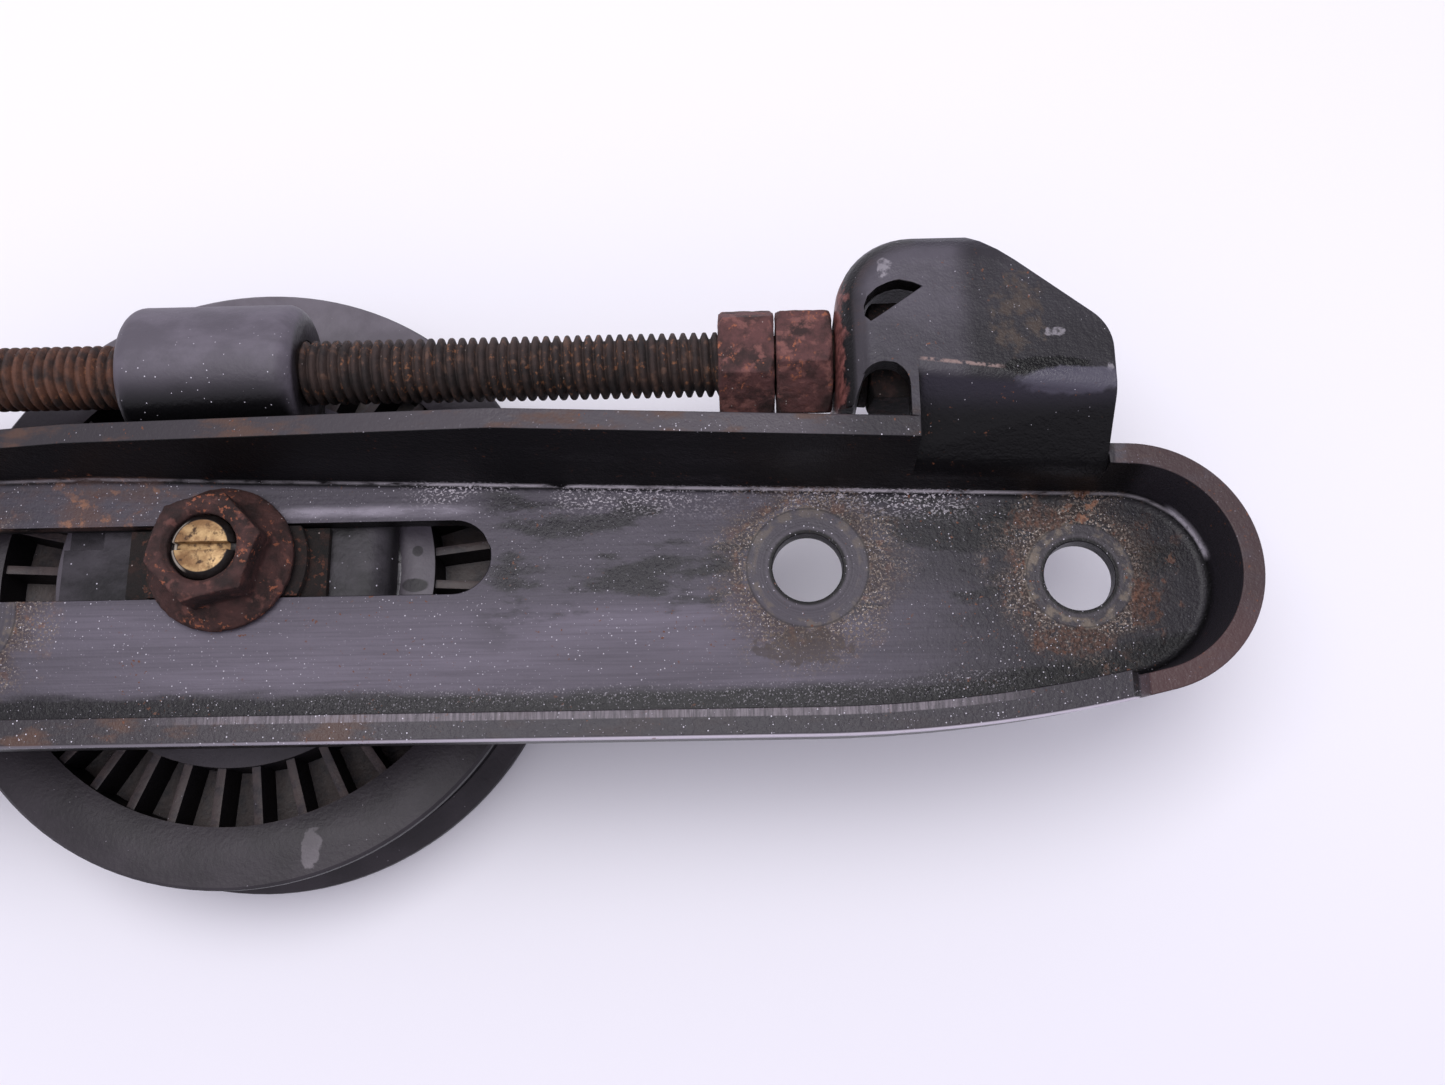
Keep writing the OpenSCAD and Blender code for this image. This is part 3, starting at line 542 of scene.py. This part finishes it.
def rust_and_oil(tree, on, colour):
    ragged_x = add(tree, "Math", {"operation": "MULTIPLY_ADD", 1: 2.4},
                   {0: patches(tree, on.place, 2.5, 0.2, 0.8, 5.0), 2: on.x})[0]
    end_wall = all_of(tree, inverse(tree, step(tree, ragged_x, -15.9, -14.9)),
                      step(tree, on.y, 20, 22), band(tree, on.x, -19, -13, 0.5))
    bloom = paint(tree, patches(tree, on.place, 1.2, 0.35, 0.65, 5.0), "#4a2b29", "#7a4c47")
    colour = mark(tree, colour, bloom, end_wall)
    # painted shade: the inside of the drawn corner under the ear is near-black
    inside = all_of(tree, inverse(tree, step(tree, on.z, 21.4, 21.9)), step(tree, on.y, 21, 23),
                    inverse(tree, step(tree, on.facing, 0.1, 0.3)), step(tree, on.x, -12.6, -12.2))
    colour = mark(tree, colour, "#060506", inside, 0.85)
    # painted shade: near-black under the ear's cap
    under_cap = all_of(tree, inverse(tree, step(tree, on.z, 17, 18)), step(tree, on.y, 21, 22),
                       step(tree, on.facing, 0.85, 0.95), step(tree, on.x, -14, -13.6))
    colour = mark(tree, colour, "#0b090a", under_cap)
    round_end = all_of(tree, step(tree, on.x, 30, 34), band(tree, on.z, 5, 22, 1.0),
                       inverse(tree, step(tree, on.facing, 0.3, 0.6)))
    colour = mark(tree, colour, "#37333a", round_end, 0.5)
    for centre, radii in SCALE_SPOTS:
        scale = all_of(tree, spot(tree, on.place, centre, radii, 1.5), on.web,
                       patches(tree, on.place, 1.1, 0.38, 0.52, 5.0))
        flaked = paint(tree, patches(tree, on.place, 0.7, 0.42, 0.6), "#2e1c17", "#5a3e33")
        colour = mark(tree, colour, flaked, scale, 0.85)
    oily = all_of(tree, spot(tree, on.place, (-24, -12.6, WEB_TOP), (8, 3.0, 5), 1.6), on.web, 0.55)
    colour = mark(tree, colour, "#463c36", oily)
    # painted highlight: a pale arc in the corner of the round end
    end_reach = add(tree, "VectorMath", {"operation": "DISTANCE", 1: (28.8, -2.75, 5)},
                    {0: on.place})["Value"]
    arc = all_of(tree, band(tree, end_reach, 15.6, 16.0, 0.15), step(tree, on.x, 37.5, 39.5),
                 step(tree, on.y, 0.5, 2.5))
    return mark(tree, colour, "#a9a3ad", arc, patches(tree, on.place, 1.5, 0.3, 0.5))


print(len(SCALE_SPOTS), "spots of scale")

# %% [markdown]
# ### Specks
# Road salt and grit leave white specks all over, in clusters. They are finer in truth and are
# drawn a little coarser, so that they show. The upper wall's outer side and the ear are cleaner.

# %% Specks
SPECK_R, FEW_R, FINE_R = 0.11, 0.08, 0.065   # mm


def salt_specks(tree, on, colour):
    dots = all_of(tree, patches(tree, on.place, 0.8, 0.66, 0.72, 2.0),
                  patches(tree, on.place, 10, 0.5, 0.62))
    colour = mark(tree, colour, "#69412f", dots)
    clusters = patches(tree, on.place, 13, 0.42, 0.6, 3.0)
    specks = all_of(tree, grit(tree, on.place, 0.8, SPECK_R, 0.5),
                    ramp(tree, clusters, 0, 1, 0.12, 1.0))
    sheltered = all_of(tree, step(tree, on.x, -5.4, -5.0), step(tree, on.z, 6, 8),
                       step(tree, on.y, 12, 14), inverse(tree, step(tree, on.x, 28, 28.4)))
    open_air = all_of(tree, ramp(tree, on.y, 18.5, 20.5, 1.0, 0.0),
                      ramp(tree, on.x, 29, 35, 1.0, 0.2), inverse(tree, sheltered))
    colour = mark(tree, colour, "#c9c4cf", specks, step(tree, on.facing, 0.3, 0.7), open_air)
    few = all_of(tree, grit(tree, on.place, 0.9, FEW_R, 0.35), step(tree, on.y, 19, 20),
                 step(tree, on.facing, 0.3, 0.7), patches(tree, on.place, 5, 0.4, 0.6, 3.0))
    colour = mark(tree, colour, "#bdb8c2", few)
    fine = all_of(tree, grit(tree, on.place, 0.5, FINE_R, 0.35),
                  step(tree, on.facing, 0.1, 0.6), open_air)
    return mark(tree, colour, "#a29ca8", fine)


print("specks of", 2 * FINE_R, "to", 2 * SPECK_R, "mm")

# %% [markdown]
# ### The coat itself
# The marks are laid in the order in which they came about. The coat is satin, and dust makes it
# rougher. Its relief is the fine orange peel of a dipped coat on pickled steel, under a tenth of
# a millimetre.

# %% Bracket finish
def coated_bracket():
    material, tree = new_finish("black e-coat on pressed steel, dusty")
    on = BracketPlaces(tree)
    colour, film, wander = web_dust(tree, on)
    colour, wet = ear_marks(tree, on, colour)
    colour = wall_tops(tree, on, colour)
    colour = pale_crust(tree, on, colour, wander)
    colour = bolt_seats(tree, on, colour)
    colour = rust_and_oil(tree, on, colour)
    colour = salt_specks(tree, on, colour)
    satin, dusty, oiled = 0.33, 0.62, 0.12
    roughness = ramp(tree, film, 0, 1, satin, dusty)
    roughness = add(tree, "Mix", {"data_type": "FLOAT", 3: oiled}, {0: wet, 2: roughness})[0]
    grain = add(tree, "TexNoise", {"Scale": 2.4, "Detail": 5.0}, {"Vector": on.place})[0]
    dimples = patches(tree, on.place, 1.2, 0.3, 0.7, 4.0)
    relief = add(tree, "Math", {"operation": "MULTIPLY_ADD", 1: 0.5}, {0: dimples, 2: grain})[0]
    surface(tree, colour, roughness, relief, 0.09, **{"Specular IOR Level": 0.22})
    print(material.name, len(tree.nodes), "nodes")
    return material


bracket_finish = coated_bracket()

# %% [markdown]
# ## Bare and rusty steel
# Plain steel nuts rust evenly: a dark brown scale with paler red-brown bloom and a few orange
# spots where the scale has flaked. It is rough, pitted and hardly reflects. One function serves
# all of them, because only the colours and the share of bloom differ from one piece to the next.
# The guide block and the end nut get near-black colours as painted shade, for the slot and the
# ear that they sit in.

# %% Rusty finishes
FRESH_THREAD_X = -128   # mm: beyond the barrel nut the thread is freshly rusted


def rusty(name, dark, mid, bright, flake, bloom=0.52, fresh_below=None):
    """Layers of rust. bloom is the noise level at which the bright layer starts."""
    material, tree = new_finish(name)
    place = place_in_mm(tree)
    colour = paint(tree, patches(tree, place, 4.0, 0.35, 0.62, 6.0), dark, mid)
    colour = mark(tree, colour, bright, patches(tree, place, 2.6, bloom, bloom + 0.12, 6.0))
    flakes = both(tree, patches(tree, place, 0.9, 0.56, 0.64, 4.0),
                  patches(tree, place, 6.0, 0.48, 0.58, 2.0))
    colour = mark(tree, colour, flake, flakes)
    colour = mark(tree, colour, "#9d8f8b", grit(tree, place, 1.3, 0.12, 0.25))
    if fresh_below is not None:
        x = add(tree, "SeparateXYZ", {}, {"Vector": place})["X"]
        fresh = all_of(tree, inverse(tree, step(tree, x, fresh_below - 5, fresh_below)),
                       patches(tree, place, 3.0, 0.36, 0.62, 5.0), 0.65)
        colour = mark(tree, colour, "#6c4432", fresh)
    pits = {"Scale": 1.1, "Detail": 8.0, "Roughness": 0.75}
    pits = add(tree, "TexNoise", pits, {"Vector": place})[0]
    surface(tree, colour, 0.78, pits, 0.35)
    return material


nut_finish = rusty("rusted plain steel nut", "#33201f", "#5f3b3a", "#7a4f4a", "#9a5c42")
lock_nut_finish = rusty("deeply rusted flange nut", "#241311", "#462a27", "#5f3b35", "#92553c",
                        0.56)
# painted shade: the block's rust is near-black for the shade of the slot
guide_finish = rusty("rusted steel block", "#0e0908", "#1b100e", "#2b1813", "#553022")
thread_finish = rusty("rusted rolled thread", "#211918", "#3a2b27", "#594136", "#7d5238", 0.55,
                      FRESH_THREAD_X)
# painted shade: the end nut's rust is near-black for the shade inside the ear
end_nut_finish = rusty("rusted nut, blackened", "#141011", "#261a19", "#3a2725", "#553529")
print(len(bpy.data.materials), "finishes so far")

# %% [markdown]
# ## Zinc, bearing steel and spring steel
# The pulley's bolt is plated with yellow zinc, which keeps its brassy colour on the end face and
# stains brown on the threads. Bearing steel is turned and ground, so it is metallic and fairly
# smooth. Spring steel is blued by its heat treatment. All three are metals that are partly
# covered with film.

# %% Metal finishes
PULLEY_AXIS = (-123.6, 4.15, 0)   # mm


def from_pulley_axis(tree, place):
    """Distance in mm from the axis of the pulley and its bolt."""
    flat = add(tree, "VectorMath", {"operation": "MULTIPLY", 1: (1, 1, 0)}, {0: place})["Vector"]
    return add(tree, "VectorMath", {"operation": "DISTANCE", 1: PULLEY_AXIS}, {0: flat})["Value"]


def stained_stud():
    """The pulley's bolt: brassy zinc end face, ringed dark by stained thread and painted shade."""
    material, tree = new_finish("yellow zinc plate, stained")
    place = place_in_mm(tree)
    axes = add(tree, "SeparateXYZ", {}, {"Vector": place})
    reach = from_pulley_axis(tree, place)
    brassy = patches(tree, place, 2.4, 0.35, 0.65, 5.0, (0.6, 1, 1))
    colour = paint(tree, brassy, "#7d5c3a", "#b59569")
    colour = mark(tree, colour, "#3d2717", patches(tree, place, 1.5, 0.50, 0.66, 5.0))
    end = step(tree, axes["Z"], 11.0, 12.0)
    # stained thread and painted shade: a dark ring round the end face, in the gap to the nut
    colour = mark(tree, colour, "#191312", step(tree, reach, 4.35, 4.55), end)
    glint = all_of(tree, band(tree, reach, 4.6, 5.0, 0.1), end,
                   inverse(tree, step(tree, axes["X"], -127.0, -125.5)))
    colour = mark(tree, colour, "#b3a99d", glint)
    worn = ramp(tree, patches(tree, place, 1.8, 0.3, 0.7), 0, 1, 0.42, 0.62)
    surface(tree, colour, worn, patches(tree, place, 0.7, 0.2, 0.8, 4.0), 0.05, Metallic=0.45)
    return material


def bare_metal(name, base, stain, bright, metallic, roughness):
    material, tree = new_finish(name)
    place = place_in_mm(tree)
    colour = paint(tree, patches(tree, place, 2.4, 0.35, 0.65, 5.0, (0.6, 1, 1)), base, bright)
    colour = mark(tree, colour, stain, patches(tree, place, 1.5, 0.52, 0.68, 5.0))
    worn = add(tree, "MapRange", {"To Min": roughness, "To Max": roughness + 0.2},
               {"Value": patches(tree, place, 1.8, 0.3, 0.7)})["Result"]
    surface(tree, colour, worn, patches(tree, place, 0.7, 0.2, 0.8, 4.0), 0.05, Metallic=metallic)
    return material


stud_finish = stained_stud()
steel_finish = bare_metal("turned steel, greyed", "#8a888c", "#4d474a", "#a9a7ab", 0.9, 0.34)
spring_finish = bare_metal("blued spring steel", "#4b4d55", "#33302f", "#6a6c74", 0.85, 0.36)
print(len(bpy.data.materials), "finishes so far")

# %% [markdown]
# ## Black coats, rubber and cage plastic
# The slider and the bearing's shield are painted, the seals are rubber and the ball cage is
# moulded nylon. What the eye sees on all of them is the same: dust on what lies flat, over a dull
# dark body. The barrel nut is the smoothest. It is grey with dust all over, but its side facing
# -Y is left black as painted shade.

# %% Dusty finishes
DULL = {"Specular IOR Level": 0.28}


def dusty(name, body, dust, amount, roughness, gritty):
    """A dull body with dust on what lies flat; amount is its cover, gritty its share of specks."""
    material, tree = new_finish(name)
    place = place_in_mm(tree)
    facing = add(tree, "SeparateXYZ", {}, {"Vector": add(tree, "TexCoord")["Normal"]})["Z"]
    lying = both(tree, step(tree, facing, 0.35, 0.95),
                 patches(tree, place, 7, 0.3, 0.7, 5.0, (0.6, 1, 1)))
    colour = paint(tree, all_of(tree, lying, amount), body, dust)
    specks = both(tree, grit(tree, place, 1.0, 0.14, gritty), patches(tree, place, 6, 0.4, 0.6))
    colour = mark(tree, colour, "#b9b4c0", specks)
    surface(tree, colour, roughness, patches(tree, place, 0.9, 0.2, 0.8, 4.0), 0.05, **DULL)
    return material


def coated_barrel():
    """Smooth black coat: grey dust over the top, the -Y side left black as painted shade."""
    material, tree = new_finish("black coated barrel nut")
    place = place_in_mm(tree)
    normal = add(tree, "SeparateXYZ", {}, {"Vector": add(tree, "TexCoord")["Normal"]})
    cloud = patches(tree, place, 6, 0.3, 0.7, 5.0, (0.6, 1, 1))
    # dust and painted shade: no dust on the side facing -Y, which lies in the bracket's shadow
    film = all_of(tree, step(tree, normal["Y"], -0.75, -0.05), step(tree, normal["Z"], -0.1, 0.4),
                  ramp(tree, cloud, 0, 1, 0.7, 1.0))
    colour = paint(tree, film, "#0c0b0d", "#655f69")
    specks = all_of(tree, grit(tree, place, 0.9, 0.11, 0.5), step(tree, normal["Z"], 0.3, 0.7),
                    ramp(tree, normal["Y"], -0.4, 0.5, 1.0, 0.1))
    colour = mark(tree, colour, "#c2bdc8", specks)
    surface(tree, colour, ramp(tree, film, 0, 1, 0.34, 0.55),
            patches(tree, place, 0.9, 0.2, 0.8, 4.0), 0.04, **DULL)
    return material


barrel_finish = coated_barrel()
slider_finish = dusty("greyed slider coat", "#1b191c", "#454147", 0.9, 0.5, 0.15)
shield_finish = dusty("black steel shield", "#1b1a1d", "#47434b", 0.6, 0.4, 0.15)
rubber_finish = dusty("seal rubber", "#171618", "#3b373b", 0.5, 0.6, 0.05)
cage_finish = dusty("moulded cage plastic", "#8b7a4c", "#6d6248", 0.5, 0.45, 0.02)
print(len(bpy.data.materials), "finishes so far")

# %% [markdown]
# ## Glass-filled nylon of the pulley
# The pulley is moulded from black nylon with glass fibre in it, which leaves a dull, faintly
# mottled skin. Dust lies on its flanges, brown road dirt on the ribs and pale dust on the hub,
# whose near side is left dark as painted shade under the bracket. Each of these is a ring, so
# their masks are bands of distance from the pulley's axis.

# %% Pulley finish
RIBS, HUB = (34.4, 44.3), (27, 34.3)   # mm from the axis
HUB_NICKS = (((-92.6, 8.2, -7.2), (1.0, 1.0, 2)), ((-92.8, 1.9, -7.2), (2.4, 1.3, 2)))


def ribbed_plastic():
    material, tree = new_finish("glass-filled nylon, dusty")
    place = place_in_mm(tree)
    y = add(tree, "SeparateXYZ", {}, {"Vector": place})["Y"]
    facing = add(tree, "SeparateXYZ", {}, {"Vector": add(tree, "TexCoord")["Normal"]})["Z"]
    reach = from_pulley_axis(tree, place)
    lying = all_of(tree, step(tree, facing, 0.35, 0.95),
                   ramp(tree, patches(tree, place, 9, 0.3, 0.7, 5.0), 0, 1, 0.65, 1.0))
    colour = mark(tree, "#121013", "#3d373d", lying, ramp(tree, y, 15, 50, 0.75, 1.0))
    colour = mark(tree, colour, "#6b656d", lying, step(tree, y, 30, 52))
    ribs = all_of(tree, lying, band(tree, reach, *RIBS, 0.3))
    colour = mark(tree, colour, "#4c4140", ribs, patches(tree, place, 2.5, 0.3, 0.6, 4.0))
    # dust and painted shade: the hub's dust fades out below y = -8 mm, in the bracket's shadow
    hub = all_of(tree, lying, band(tree, reach, *HUB, 0.2), ramp(tree, y, -22, -8, 0.15, 1.0))
    colour = mark(tree, colour, "#68626b", hub)
    for centre, radii in HUB_NICKS:
        colour = mark(tree, colour, "#100e10", spot(tree, place, centre, radii, 0.3), lying)
    scuff = all_of(tree, spot(tree, place, (-108.5, -44.0, -7.2), (1.6, 3.6, 4), 1.4), lying, 0.5)
    colour = mark(tree, colour, "#8a8389", scuff)
    specks = all_of(tree, grit(tree, place, 1.0, 0.09, 0.08), step(tree, facing, 0.5, 0.9))
    colour = mark(tree, colour, "#857f87", specks)
    surface(tree, colour, 0.45, patches(tree, place, 0.8, 0.2, 0.8, 4.0), 0.04,
            **{"Specular IOR Level": 0.3})
    return material


plastic_finish = ribbed_plastic()
print(len(bpy.data.materials), "finishes in all")

# %% [markdown]
# ## Copies to shape
# The CAD model's solids have the right sizes and razor-sharp edges, and their meshes are loose
# triangles. They aren't touched. Each new piece starts from a copy, with its triangles joined
# into whole faces, so that its real edges can be found.

# %% Copies and modifiers
def only(piece):
    """Selects this piece alone, because an operator acts on all that is selected."""
    bpy.ops.object.select_all(action="DESELECT")
    piece.select_set(True)
    bpy.context.view_layer.objects.active = piece


def merged_copy(node, name, weld_mm=0.002, flat_degrees=0.3):
    """A new piece from a CAD solid, its loose triangles joined and its flat faces made whole."""
    piece = bpy.data.objects.new(name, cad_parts[node].data.copy())
    piece.data.materials.clear()
    bpy.context.scene.collection.objects.link(piece)
    only(piece)
    bpy.ops.object.mode_set(mode="EDIT")
    bpy.ops.mesh.select_all(action="SELECT")
    bpy.ops.mesh.remove_doubles(threshold=weld_mm * MM)
    bpy.ops.mesh.customdata_custom_splitnormals_clear()
    bpy.ops.mesh.dissolve_limited(angle_limit=math.radians(flat_degrees))
    bpy.ops.object.mode_set(mode="OBJECT")
    return piece


def use(piece, kind, **settings):
    """Adds a modifier with its settings and applies it."""
    only(piece)
    modifier = piece.modifiers.new(kind.lower(), kind)
    for key, value in settings.items():
        setattr(modifier, key, value)
    bpy.ops.object.modifier_apply(modifier=modifier.name)


print("loose triangles of the bracket:", len(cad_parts["bracket"].data.polygons))

# %% [markdown]
# ## Broken edges
# Pressed, forged and moulded parts have no sharp edges, and light catches on each rounded one.
# The Bevel modifier rounds every sharp edge of a simple piece. It narrows all its bevels where two
# would meet, and on the bracket, which has very short edges, that would leave no bevel at all. So
# the bracket's long edges are chosen in code and bevelled alone, and a few edges that wore or were
# rolled get a width of their own.

# %% Broken edges
SHARP = math.radians(32)


def break_edges(piece, width_mm):
    use(piece, "BEVEL", width=width_mm * MM, segments=2, limit_method="ANGLE", angle_limit=SHARP,
        use_clamp_overlap=True, loop_slide=False, miter_outer="MITER_ARC")


def select_edges(piece, chosen):
    """Enters edit mode with those edges selected that the list says."""
    only(piece)
    bpy.ops.object.mode_set(mode="EDIT")
    bpy.ops.mesh.select_mode(type="EDGE")
    bpy.ops.mesh.select_all(action="DESELECT")
    bpy.ops.object.mode_set(mode="OBJECT")
    for edge, wanted in zip(piece.data.edges, chosen):
        edge.select = wanted
    bpy.ops.object.mode_set(mode="EDIT")
    print(piece.name, sum(chosen), "edges chosen")


def choose_edges(piece, test):
    """Selects the edges whose two ends both pass the test, which is given x, y and z in mm."""
    passes = [test(*(v.co / MM)) for v in piece.data.vertices]
    select_edges(piece, [all(passes[i] for i in edge.vertices) for edge in piece.data.edges])


def round_chosen(width_mm, segments, clamp=True):
    """Rounds the selected edges and leaves edit mode."""
    bpy.ops.mesh.bevel(offset=width_mm * MM, segments=segments, profile=0.5, affect="EDGES",
                       clamp_overlap=clamp)
    bpy.ops.object.mode_set(mode="OBJECT")


def break_long_edges(piece, width_mm, clear_mm):
    """Rounds each sharp edge that has no neighbour shorter than clear_mm, so no bevels collide."""
    solid = bmesh.new()
    solid.from_mesh(piece.data)
    shortest = [min(e.calc_length() for e in v.link_edges) / MM for v in solid.verts]
    picked = [e.calc_face_angle(0) > SHARP and min(shortest[v.index] for v in e.verts) > clear_mm
              for e in solid.edges]
    solid.free()
    select_edges(piece, picked)
    round_chosen(width_mm, 3, clamp=False)


print("an edge is sharp above", round(math.degrees(SHARP)), "degrees")

# %% [markdown]
# ## Rust in the shape, and the last step
# Deep rust changes a nut's outline, so colour and bump alone look painted on. Its surface is
# rebuilt from small cubes by a voxel remesh and then eaten into by a cloud pattern. It goes
# inwards only, which keeps the fits of the solid. Every piece ends in the same way: it is shaded
# smooth but for its sharp edges, gets its finish, and takes the place of its CAD solid on the
# body that moves it.

# %% Rust in the shape, and the last step
def corrode(piece, voxel_mm, depth_mm, grain_mm):
    """Rebuilds the surface finely and eats into it, as rust does; never outwards."""
    use(piece, "REMESH", mode="VOXEL", voxel_size=voxel_mm * MM)
    grain = bpy.data.textures.new(piece.name + " pitting", "CLOUDS")
    grain.noise_scale = grain_mm * MM
    grain.noise_depth = 3
    use(piece, "DISPLACE", texture=grain, strength=-depth_mm * MM, mid_level=0.0)


def finished(piece, body, slot, finish, *nodes, smooth=35):
    """Shades the piece, gives it its finish and puts it in the place of its CAD solids."""
    only(piece)
    bpy.ops.object.shade_smooth_by_angle(angle=math.radians(smooth))
    if not piece.data.materials:
        piece.data.materials.append(finish)
    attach(piece, body)
    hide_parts(*nodes)
    print(piece.name, len(piece.data.polygons), "faces")


print("corrode and finished are ready")

# %% [markdown]
# ## Bracket
# One pressing: a flat web with a long slot, walls that lean out, and an ear folded out at one
# corner. It is 3.5 mm sheet, and no edge of it is as made. The slot's upper edge is rolled over,
# the lower wall's outer edge is worn round, and its inner one stands in a little, upset and
# scraped.

# %% Bracket
def past_bow(x, y):
    """y in mm, measured from the bowed lower wall, as in the bracket's finish."""
    return y - max(0, x - BOW_START) ** 2 / BOW_SCALE


bracket = merged_copy("bracket", "pressed_bracket", weld_mm=0.1, flat_degrees=0.5)
# the slot's rolled edge
choose_edges(bracket, lambda x, y, z: abs(z - WEB_TOP) < 0.05 and -196 < x < -76 and 7.0 < y < 11.0)
round_chosen(1.7, 6)
# the lower wall's outer top edge
choose_edges(bracket, lambda x, y, z: (z > 21.3 and y < -20 and past_bow(x, y) < -29.4
                                       and -170 < x < 29))
round_chosen(0.7, 3)
# the lower wall's inner top edge
choose_edges(bracket, lambda x, y, z: (z > 21.4 and -26.65 < past_bow(x, y) < -26.3
                                       and -170 < x < 26))
bpy.ops.transform.translate(value=(0, 1.1 * MM, 0))
bpy.ops.object.mode_set(mode="OBJECT")
break_long_edges(bracket, 0.25, 0.6)
finished(bracket, "bracket_frame", "bracket_coat", bracket_finish, "bracket")
# large faces keep their own normals, so that only the narrow bevels look round
use(bracket, "WEIGHTED_NORMAL", keep_sharp=True, weight=100)

# %% [markdown]
# ## Jack screw
# The screw is 7/16 inch with 14 turns an inch, rolled. The CAD solid has plain grooves, which
# would do from afar. Here the thread is a real helix: one turn of its outline is swept along the
# rod by the Screw modifier, and both ends are cut square.

# %% Measures of the rod
PITCH, THREAD_R, THREAD_DEPTH = 1.814, 11.11 / 2, 0.6 * 1.814   # mm
rod_points = [v.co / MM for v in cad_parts["jack_screw"].data.vertices]
rod_start, rod_end = min(v.x for v in rod_points), max(v.x for v in rod_points)
rod_y = (min(v.y for v in rod_points) + max(v.y for v in rod_points)) / 2
rod_z = (min(v.z for v in rod_points) + max(v.z for v in rod_points)) / 2
print("rod from x", round(rod_start, 2), "to", round(rod_end, 2), "mm")

# %% Jack screw
ROOT_R, SHOULDER_R = THREAD_R - THREAD_DEPTH, THREAD_R - 0.12
SPARE_TURNS = 4          # cut off again at the ends
START_CUT, END_CUT = 0.11, 0.02   # mm inside the solid's ends, clear of the thread's corners
# one turn's outline: share of the pitch, and radius
outline = [(0.0, THREAD_R), (0.10, THREAD_R), (0.19, SHOULDER_R), (0.42, ROOT_R),
           (0.50, ROOT_R - 0.04), (0.58, ROOT_R), (0.81, SHOULDER_R), (0.90, THREAD_R),
           (1.0, THREAD_R)]
mesh = bpy.data.meshes.new("rolled_thread")
mesh.from_pydata([((rod_start + (t - 2) * PITCH) * MM, 0.0, r * MM) for t, r in outline],
                 [(i, i + 1) for i in range(len(outline) - 1)], [])
rod = bpy.data.objects.new("rolled_thread", mesh)
bpy.context.scene.collection.objects.link(rod)
use(rod, "SCREW", axis="X", screw_offset=PITCH * MM, angle=2 * math.pi,
    iterations=int((rod_end - rod_start) / PITCH) + SPARE_TURNS, steps=48, render_steps=48,
    use_merge_vertices=True, merge_threshold=0.002 * MM)
only(rod)
bpy.ops.object.mode_set(mode="EDIT")
bpy.ops.mesh.select_all(action="SELECT")
bpy.ops.mesh.remove_doubles(threshold=0.002 * MM)
for cut_at, outwards in ((rod_start + START_CUT, -1), (rod_end - END_CUT, 1)):
    bpy.ops.mesh.select_all(action="SELECT")
    bpy.ops.mesh.bisect(plane_co=(cut_at * MM, 0, 0), plane_no=(outwards, 0, 0), use_fill=True,
                        clear_outer=True)
bpy.ops.mesh.select_all(action="SELECT")
bpy.ops.mesh.normals_make_consistent(inside=False)
bpy.ops.transform.translate(value=(0, rod_y * MM, rod_z * MM))
bpy.ops.object.mode_set(mode="OBJECT")
finished(rod, "screw", "rusty_thread", thread_finish, "jack_screw", smooth=40)

# %% [markdown]
# ## Nuts and washer
# Plain steel left out in the salt has lost its edges. Each nut is bevelled first, so that the
# rebuilt surface starts from a worn shape, and is then pitted by real depth.

# %% Corroded nuts
for node, name, body, slot, finish in (
        ("jam_nut_inner", "jam_nut_near_ear", "screw", "rusty_nut", nut_finish),
        ("jam_nut_outer", "jam_nut_far", "screw", "rusty_nut", nut_finish),
        ("retaining_nut", "end_nut", "screw", "rusty_nut", end_nut_finish),
        ("thrust_washer", "plain_washer", "screw", "rusty_steel", guide_finish),
        ("lock_nut", "flange_nut", "lock", "rusty_lock_nut", lock_nut_finish)):
    piece = merged_copy(node, name)
    break_edges(piece, 0.35)
    corrode(piece, voxel_mm=0.26, depth_mm=0.30, grain_mm=1.6)
    finished(piece, body, slot, finish, node, smooth=60)

# %% [markdown]
# ## Slider, pulley and bearing
# These solids have their full form already: ribs, hub, races, balls and seals. What they lack are
# broken edges, narrow on turned steel, wider on the cast slider and the moulded pulley. The balls
# have no edge to break.

# %% Slider, pulley and bearing
for node, name, body, slot, finish, width in (
        ("slider_plate", "slider_casting", "slider", "slider_coat", slider_finish, 0.4),
        ("slot_guide", "guide_block", "slider", "rusty_steel", guide_finish, 0.3),
        ("adjuster_barrel", "barrel_nut", "slider", "barrel_coat", barrel_finish, 0.2),
        ("axle_stud", "pulley_bolt", "slider", "yellow_zinc", stud_finish, 0.2),
        ("axle_sleeve", "spacer_sleeve", "slider", "bare_steel", steel_finish, 0.2),
        ("dust_shield", "dished_shield", "slider", "shield_steel", shield_finish, 0.15),
        ("pulley", "ribbed_pulley", "wheel", "ribbed_plastic", plastic_finish, 0.35),
        ("hub_insert", "hub_sleeve", "wheel", "bare_steel", steel_finish, 0.2),
        ("retaining_ring", "snap_ring", "wheel", "spring_steel", spring_finish, 0.15),
        ("bearing_outer_race", "outer_race", "wheel", "bearing_steel", steel_finish, 0.3),
        ("bearing_inner_race", "inner_race", "slider", "bearing_steel", steel_finish, 0.3),
        ("bearing_balls", "ball_ring", "ball_set", "bearing_steel", steel_finish, 0.0),
        ("bearing_cage", "ball_cage", "ball_set", "cage_plastic", cage_finish, 0.1),
        ("bearing_seal_near", "near_seal", "wheel", "seal_rubber", rubber_finish, 0.1),
        ("bearing_seal_far", "far_seal", "wheel", "seal_rubber", rubber_finish, 0.1)):
    piece = merged_copy(node, name)
    if width:
        break_edges(piece, width)
    finished(piece, body, slot, finish, node)
